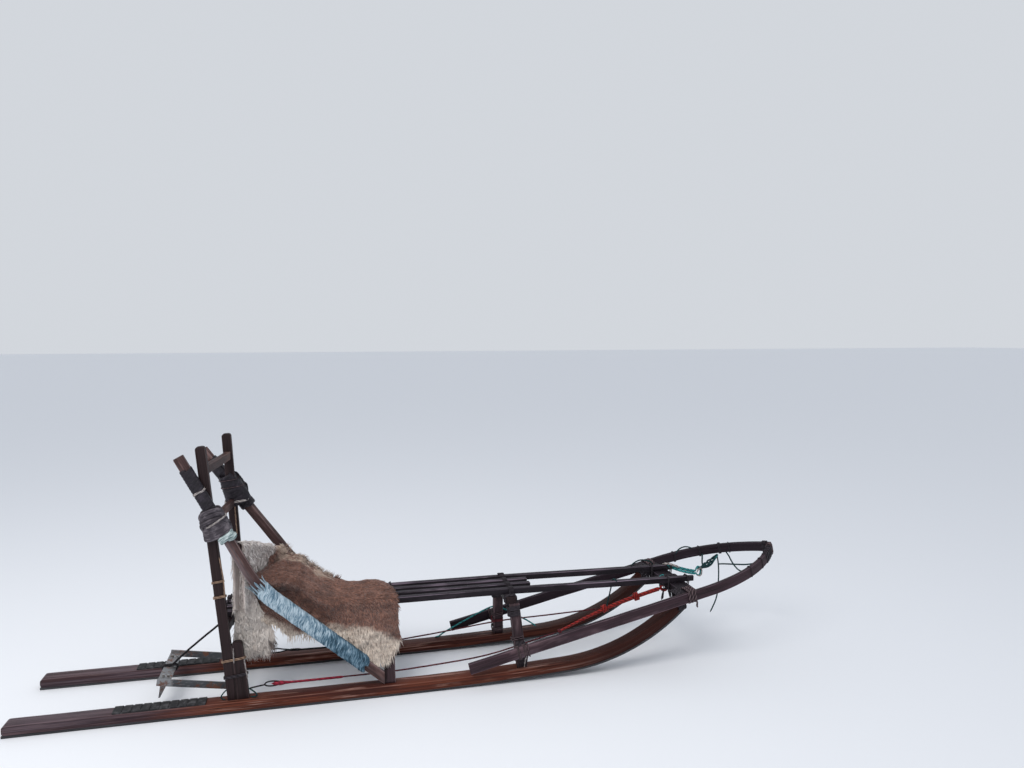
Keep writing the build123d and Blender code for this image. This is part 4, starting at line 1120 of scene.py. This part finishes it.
# Seat hide: one reindeer skin thrown over the bed and up against the backrest, hair side
# out, with its belly edges hanging down at both sides. Brown guard hair over white skin
# edges. It is cut as one flat sheet, and lies and hangs under its own weight.
hide_outline_x = (-0.800, -0.700, -0.630, -0.580, -0.515, -0.440, -0.392, -0.368, -0.318, -0.303,
                  -0.274, -0.243, -0.222, -0.216, -0.187)
hide_outline_z = (0.380, 0.305, 0.262, 0.254, 0.266, 0.258, 0.216, 0.188, 0.146, 0.124,
                  0.118, 0.130, 0.150, 0.177, 0.200)
hide_top_x = (-0.83, -0.653, -0.588, -0.541, -0.500, -0.450, -0.383, -0.248, -0.205, -0.187)
hide_top_z = (0.508, 0.499, 0.482, 0.438, 0.410, 0.390, 0.377, 0.374, 0.368, 0.358)


def drape(name, cuts_across, cuts_along, lay, ripple, seed):
    """A flat net of cloth or skin whose points lay(u, v) puts in place, with soft ripples."""
    bpy.ops.object.select_all(action="DESELECT")
    bpy.ops.mesh.primitive_grid_add(x_subdivisions=cuts_along, y_subdivisions=cuts_across, size=2)
    skin = bpy.context.object
    skin.name = name
    for point in skin.data.vertices:
        u, v = (point.co.x + 1) / 2, point.co.y
        point.co = lay(u, v)
        point.co += noise.noise_vector(point.co * 14 + Vector((seed, 0, 0))) * ripple
        point.co += noise.noise_vector(point.co * 38 + Vector((0, seed, 0))) * ripple * 0.35
    soften = skin.modifiers.new("soften", "SMOOTH")
    soften.factor = 0.5
    soften.iterations = 3
    bpy.ops.object.modifier_apply(modifier="soften")
    bpy.ops.object.shade_smooth()
    return skin


hide_back_x, round_over = -0.800, 0.012


def lay_seat_hide(u, v):
    """u runs from the hide's rear edge to its front one, and v from side to side."""
    front = float(np.interp(v, (-0.5, -0.15, 0.15, 0.30, 0.50),
                            (-0.190, -0.194, -0.218, -0.236, -0.290)))
    x = hide_back_x + (front - hide_back_x) * u
    top = float(np.interp(x, hide_top_x, hide_top_z))
    half = float(np.interp(x, (-0.80, -0.47, -0.42, -0.187), (0.186, 0.186, 0.150, 0.143)))
    edge = float(np.interp(x, hide_outline_x, hide_outline_z)) + 0.007 * math.sin(x * 61 + v)
    share, side = abs(v) / 0.5, 1 if v > 0 else -1
    if share <= 1:
        crown = 0.006 * (1 - share * share)
        # The far edge is pulled up where it is tucked in beside the left strut.
        tucked = max(0.0, side * share) ** 3 * float(np.interp(
            x, (-0.83, -0.70, -0.66, -0.61, -0.55, -0.50, -0.45),
            (0.0, 0.012, 0.026, 0.020, 0.018, 0.008, 0.0)))
        y, z = share * half, top + crown + tucked - round_over * share ** 6
    else:
        drop = (share - 1) * (top - round_over - edge)
        z = top - round_over - drop
        hang = 0.1475 + (0.335 - z) * 0.272
        tuck = min(1, drop / 0.09)
        tuck = tuck * tuck * (3 - 2 * tuck)
        y = half + 0.004 + (hang - half - 0.004) * tuck
    across_bar = (side * y + 0.2175) / 0.435
    rear = -0.792 + across_bar * 0.169
    x = max(x, rear + 0.004 * (1 - u))
    # On the left its neck end is thrown over the backrest bar.
    climb = max(0.0, 1 - u / 0.17) * min(1.0, max(0.0, (side * y + 0.02) / 0.08)) * (share <= 1.2)
    climb = climb * climb * (3 - 2 * climb)
    over = Vector((rear - 0.024 + 0.018 * u / 0.17, side * y, 0.645 - across_bar * 0.145 + 0.022))
    return Vector((x, side * y, z)).lerp(over, climb)


def fur(name, skin, count, long, comb, seed, thin=0.0028, lift=0.24):
    """Locks of hair rooted all over a skin: thin bent blades, combed along comb(places)."""
    chance = np.random.default_rng(seed)
    mesh = skin.data
    mesh.calc_loop_triangles()
    corners = np.array([t.vertices[:] for t in mesh.loop_triangles])
    at = np.array([v.co[:] for v in mesh.vertices])
    out = np.array([v.normal[:] for v in mesh.vertices])
    a, b, c = (at[corners[:, i]] for i in range(3))
    area = np.linalg.norm(np.cross(b - a, c - a), axis=1)
    face = chance.choice(len(area), count, p=area / area.sum())
    s, t = chance.random((2, count, 1))
    s, t = np.where(s + t > 1, 1 - s, s), np.where(s + t > 1, 1 - t, t)
    root = a[face] + s * (b - a)[face] + t * (c - a)[face]
    na, nb, nc = (out[corners[face, i]] for i in range(3))
    up = na + s * (nb - na) + t * (nc - na)
    up /= np.linalg.norm(up, axis=1, keepdims=True)
    way = comb(root) + chance.normal(0, 0.28, (count, 3))
    way -= up * (way * up).sum(1, keepdims=True)
    way /= np.linalg.norm(way, axis=1, keepdims=True)
    across = np.cross(up, way)
    length = long(root)[:, None] * chance.uniform(0.65, 1.25, (count, 1))
    wide = thin * chance.uniform(0.7, 1.4, (count, 1))
    droop = np.array([[0, 0, -1.0]]) * length * chance.uniform(0.0, 0.16, (count, 1))
    rise = lift * chance.uniform(0.5, 1.4, (count, 1))
    rings = []
    for share, width, high in ((0.0, 1.0, -0.02), (0.5, 0.85, 0.75)):
        middle = root + way * length * share + up * length * rise * high * 0.55
        middle += droop * share ** 2
        thick = up * wide * width * 0.55
        rings += [middle + across * wide * width / 2, middle + thick,
                  middle - across * wide * width / 2]
    tip = root + way * length + up * length * rise * 0.40 + droop
    points = np.stack(rings + [tip], 1).reshape(-1, 3)
    per_lock = len(rings) + 1
    first = (np.arange(count) * per_lock)[:, None]
    sides = [first + np.array([[i, i + 3, (i + 1) % 3 + 3, (i + 1) % 3]]) for i in range(3)]
    ends = [first + np.array([[i + 3, 6, (i + 1) % 3 + 3]]) for i in range(3)]
    ends += [first + np.array([[0, 1, 2]])]
    hair = bpy.data.meshes.new(name)
    hair.from_pydata(points.tolist(), [],
                     np.concatenate(sides).tolist() + np.concatenate(ends).tolist())
    lock = hair.attributes.new("lock", "FLOAT_VECTOR", "POINT")
    tone = np.repeat(chance.random(count), per_lock)
    along = np.tile([0, 0, 0, 0.5, 0.5, 0.5, 1.0], count)
    lock.data.foreach_set("vector", np.stack([tone, along, tone * 0], 1).ravel())
    hair.polygons.foreach_set("use_smooth", [True] * len(hair.polygons))
    coat = bpy.data.objects.new(name, hair)
    dog_sled.collection.objects.link(coat)
    return coat


brown_hair = Finish("reindeer_brown", roughness=0.72)
x, y, z = brown_hair.apart(brown_hair.place())
tone, along = brown_hair.apart(brown_hair.place("lock"))[:2]
wander = brown_hair.cloud(brown_hair.place(), 9.0, 4.0) - 0.5
patch = brown_hair.cloud(brown_hair.place(), 21.0, 3.0) - 0.5
streak = brown_hair.cloud(brown_hair.stretched(brown_hair.place(), (22, 95, 60)), 1.0, 3.0)
coat = brown_hair.blend((streak * 0.7 + tone * 0.5).rises(0.32, 0.88), (0.115, 0.044, 0.030),
                        (0.31, 0.145, 0.098))
coat = brown_hair.blend((patch + wander + tone * 0.25).rises(0.10, 0.34) * 0.65, coat,
                        (0.055, 0.024, 0.018))
# Sandy hair along the far edge of the slope, and a darker saddle beside it.
far_edge = (y + wander * 0.22).rises(0.03, 0.10) * (x * -1 + wander * 0.2).rises(0.43, 0.50)
coat = brown_hair.blend(far_edge * (patch + tone * 0.2 + 0.5).rises(0.42, 0.60) * 0.9, coat,
                        (0.58, 0.45, 0.36))
saddle = (z + wander * 0.12).rises(0.455, 0.49) * (1 - far_edge)
coat = brown_hair.blend(saddle * 0.45, coat, (0.12, 0.045, 0.028))
# White belly hair along the whole hanging edge, which is lowest at the front corner.
brown_edge = (x * -0.22 + 0.180).least(x * 0.9 + 0.79).most((x + 0.63) * -0.72 + 0.29)
belly = 1 - (z - brown_edge + wander * 0.10).rises(-0.014, 0.014)
coat = brown_hair.blend(belly * 0.93, coat, brown_hair.blend(
    (streak + tone * 0.4).rises(0.4, 0.9), (0.50, 0.40, 0.33), (0.84, 0.74, 0.64)))
# Each lock darkens towards its root, a painted shade deep in the coat.
coat = brown_hair.blend((1 - along.rises(0.0, 0.35)) * 0.30, coat, (0.06, 0.028, 0.018))
brown_hair.vary("Base Color", coat)
brown_hair.relief(streak, 0.004)
brown_hair.shader.inputs["Sheen Weight"].default_value = 0.25


def seat_hair_length(p):
    """Longest on the belly edge and on the far rear edge."""
    far_rear = (p[:, 1] > 0.10) & (p[:, 0] < -0.43)
    return np.where(p[:, 2] < 0.27, 0.034, np.where(far_rear, 0.036, 0.019))


def seat_hair_way(p):
    """Forward on top, down and back at the hanging sides, up where the far edge is tucked."""
    far = p[:, 1] > 0.135
    return np.stack([1.0 - 2.4 * np.clip((0.34 - p[:, 2]) / 0.1, 0, 0.38),
                     np.where(far, 1.1, np.sign(p[:, 1]) * 0.25),
                     np.where(far & (p[:, 0] < -0.43), 1.0, -1.3)], 1)


def thicken(skin, thickness):
    shell = skin.modifiers.new("skin", "SOLIDIFY")
    shell.thickness = thickness
    bpy.ops.object.select_all(action="DESELECT")
    bpy.context.view_layer.objects.active = skin
    bpy.ops.object.modifier_apply(modifier="skin")


seat_hide = drape("seat_hide_skin", 60, 72, lay_seat_hide, 0.0065, 3.0)
seat_fur = fur("seat_hide_hair", seat_hide, 19500, seat_hair_length, seat_hair_way, seed=5,
               thin=0.0025, lift=0.17)
thicken(seat_hide, 0.005)
fix(seat_hide, brown_hair, "brown_hide", "seat_hide")
fix(seat_fur, brown_hair, "brown_hide")

# Back hide: a paler, grey-white skin that hangs over the backrest bar, front and back, with
# its leg and belly flap hanging down on the right between the post and the strut.
bar_middle_right = Vector((-0.8208, -0.2175, 0.645))
bar_middle_left = Vector((-0.6518, 0.2175, 0.500))


def lay_back_hide(u, v):
    """u runs from the front sheet's hem over the bar to the rear sheet's hem."""
    share = 0.045 + 0.290 * (1 + v)
    bar = bar_middle_right.lerp(bar_middle_left, share)
    over_bar = 0.019 * math.pi
    down = bar.z - 0.368 + 0.012 * math.sin(v * 8)
    run = u * (2 * down + over_bar)
    top = bar.z + 0.012
    if run < down:
        return Vector((bar.x + 0.0185, bar.y, top - (down - run)))
    if run > down + over_bar:
        return Vector((bar.x - 0.0185, bar.y, top - (run - down - over_bar)))
    angle = (run - down) / 0.019
    return Vector((bar.x + 0.019 * math.cos(angle), bar.y, top + 0.014 * math.sin(angle)))


def lay_flap(u, v):
    """The flap on the right: v down from the bar, u from its rear edge to its front one."""
    fall = (1 + v) / 2
    z = 0.612 - fall * 0.41
    rear = float(np.interp(z, (0.19, 0.21, 0.26, 0.34, 0.42, 0.62),
                           (-0.812, -0.834, -0.840, -0.836, -0.822, -0.818)))
    front = float(np.interp(z, (0.195, 0.22, 0.27, 0.31, 0.36, 0.43, 0.62),
                            (-0.708, -0.692, -0.686, -0.696, -0.725, -0.755, -0.772)))
    return Vector((rear + (front - rear) * u, -0.150 - 0.010 * math.sin(fall * 3.1 + u * 2), z))


pale_hair = Finish("reindeer_grey_white", roughness=0.75)
x, y, z = pale_hair.apart(pale_hair.place())
tone, along = pale_hair.apart(pale_hair.place("lock"))[:2]
wander = pale_hair.cloud(pale_hair.place(), 8.0, 4.0) - 0.5
streak = pale_hair.cloud(pale_hair.stretched(pale_hair.place(), (70, 70, 22)), 1.0, 3.0)
coat = pale_hair.blend((streak * 0.8 + tone * 0.45).rises(0.30, 0.80), (0.52, 0.44, 0.41),
                       (0.88, 0.82, 0.78))
blotch = (wander + tone * 0.10).rises(0.10, 0.19)
coat = pale_hair.blend(blotch * 0.6, coat, (0.17, 0.10, 0.08))
low = 1 - (z + wander * 0.12).rises(0.36, 0.44)
coat = pale_hair.blend(low * 0.5, coat, (0.64, 0.57, 0.50))
leg = (x + wander * 0.05).rises(-0.712, -0.700) * (1 - z.rises(0.225, 0.245))
coat = pale_hair.blend(leg * 0.9, coat, (0.075, 0.038, 0.030))
# Each lock darkens towards its root, a painted shade deep in the coat.
coat = pale_hair.blend((1 - along.rises(0.0, 0.35)) * 0.3, coat, (0.16, 0.12, 0.10))
pale_hair.vary("Base Color", coat)
pale_hair.relief(streak, 0.004)
pale_hair.shader.inputs["Sheen Weight"].default_value = 0.25

back_hide = drape("back_hide_skin", 30, 60, lay_back_hide, 0.004, 8.0)
flap = drape("back_hide_flap_skin", 44, 12, lay_flap, 0.004, 9.0)
for skin in (back_hide, flap):
    bpy.ops.object.select_all(action="DESELECT")
    skin.select_set(True)
    bpy.context.view_layer.objects.active = skin
    bpy.ops.object.mode_set(mode="EDIT")
    bpy.ops.mesh.select_all(action="SELECT")
    bpy.ops.mesh.normals_make_consistent(inside=False)
    bpy.ops.object.mode_set(mode="OBJECT")


def combed_down(p):
    return np.tile((0.15, 0.0, -1.0), (len(p), 1))


back_fur = fur("back_hide_hair", back_hide, 7000, lambda p: np.full(len(p), 0.030), combed_down,
               seed=11)
flap_fur = fur("back_hide_flap_hair", flap, 2600, lambda p: np.where(p[:, 2] < 0.30, 0.046, 0.032),
               combed_down, seed=12)
for skin, coat in ((back_hide, back_fur), (flap, flap_fur)):
    thicken(skin, 0.004)
    fix(skin, pale_hair, "pale_hide", "back_hide")
    fix(coat, pale_hair, "pale_hide")

# Brake: a steel frame, hinged on an axle between the posts and pushed down with a foot so
# that its two claws bite the snow. It was painted grey and has rusted where it was welded
# and stood on. A cord of shock elastic holds it up.
steel = Finish("brake_steel_worn", roughness=0.45, Metallic=0.9)
spots = steel.cloud(steel.place(), 30.0, 5.0, 0.65)
fine = steel.cloud(steel.place(), 240.0, 3.0)
scratches = steel.cloud(steel.stretched(steel.place(), (40, 500, 260)), 1.0, 2.0)
x, y, z = steel.apart(steel.place())
worn_bar = (x * -1 + spots * 0.04).rises(1.085, 1.10)
rust = (spots + fine * 0.25).rises(0.66, 0.76)
tone = steel.blend(scratches.rises(0.55, 0.7) * 0.5, (0.085, 0.088, 0.095), (0.34, 0.34, 0.35))
tone = steel.blend(worn_bar * 0.55, tone, (0.42, 0.42, 0.43))
steel.vary("Base Color", steel.blend(rust * 0.85, tone, (0.13, 0.042, 0.018)))
steel.vary("Metallic", 0.9 - rust * 0.85)
steel.vary("Roughness", rust * 0.4 + fine * 0.2 + 0.30)
steel.relief(rust * 0.6 + fine * 0.3 - scratches * 0.2, 0.0008)
bolt_steel = Finish("bolt_zinc", roughness=0.35, Metallic=1.0)
dull = bolt_steel.cloud(bolt_steel.place(), 90.0, 4.0)
bolt_steel.vary("Base Color", bolt_steel.blend(dull.rises(0.45, 0.7), (0.42, 0.42, 0.42),
                                               (0.15, 0.11, 0.09)))
bolt_steel.vary("Roughness", dull * 0.5 + 0.15)
dress(steel, "brake_frame", "brake_claws", "brake_axle")


def bolt(name, place, way, across, body, shank=0.0):
    """A hexagon head on its washer. With a shank, the washer, nut and thread end on the far
    side too."""
    place, way = Vector(place), Vector(way).normalized()
    turn = way.to_track_quat("Z", "Y")
    washer, washer_radius, hexagon_radius = 0.0012, across * 0.95, across * 0.577
    nut_end = -shank - across * 0.7
    # Sides, radius, from and to along the bolt
    head = ((24, washer_radius, 0, washer), (6, hexagon_radius, washer, washer + across * 0.55))
    nut = ((24, washer_radius, -shank, -shank - washer),
           (6, hexagon_radius, -shank - washer, nut_end),
           (16, across * 0.30, nut_end, -shank - across * 1.0))
    made = []
    for sides, radius, low, high in head + nut if shank else head:
        bpy.ops.mesh.primitive_cylinder_add(vertices=sides, radius=radius, depth=abs(high - low),
                                            location=(0, 0, (low + high) / 2))
        made.append(bpy.context.object)
        bpy.ops.object.transform_apply(location=True)
        edge = made[-1].modifiers.new("chamfer", "BEVEL")
        edge.width = across * 0.05
        edge.segments = 2
        edge.limit_method = "ANGLE"
        bpy.ops.object.modifier_apply(modifier="chamfer")
    bpy.ops.object.select_all(action="DESELECT")
    for part in made:
        part.select_set(True)
    bpy.context.view_layer.objects.active = made[0]
    bpy.ops.object.join()
    whole = bpy.context.object
    whole.name = name
    for point in whole.data.vertices:
        point.co = place + turn @ point.co
    return fix(whole, bolt_steel, "brake_steel", body=body)


# The brake as it hangs parked: 9 degrees up about its axle.
parked, axle_z = math.radians(9), 0.070


def on_brake(back, y, up):
    return Vector((rear_x - back * math.cos(parked) + up * math.sin(parked), y,
                   axle_z + back * math.sin(parked) + up * math.cos(parked)))


for side, name in ((-1, "right"), (1, "left")):
    bolt("brake_axle_nut_" + name, (rear_x, side * 0.1510, axle_z), (0, side, 0), 0.017, "sled")
    for index, back in enumerate((0.258, 0.276)):
        bolt("brake_claw_bolt_%s_%d" % (name, index), on_brake(back, side * 0.098, 0.004),
             (math.sin(parked), 0, math.cos(parked)), 0.010, "brake", shank=0.008)
hold_low, hold_high = on_brake(0.262, 0, 0.008), (-0.870, 0, 0.306)
bungee = smooth([hold_low, (-1.05, 0, 0.165), (-0.96, 0, 0.236), hold_high], 10)
hold = rope("brake_hold_up_cord", bungee, 0.0045, strands=3, lay=0.03, sides=10, taper=0.008)
hold.data.materials.append(black_line.material)
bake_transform(hold)
wind("brake_cord_turns_bar", black_line, "shock_cord", on_brake(0.267, -0.007, 0),
     on_brake(0.267, 0.009, 0), (1, 0, 0), 0.024, 0.005, 2, 0.0040, body="brake", seed=2)
wind("brake_cord_turns_crossbar", black_line, "shock_cord", (-0.857, -0.008, crossbar_z),
     (-0.857, 0.008, crossbar_z), (1, 0, 0), 0.019, 0.015, 2, 0.0040, seed=3)
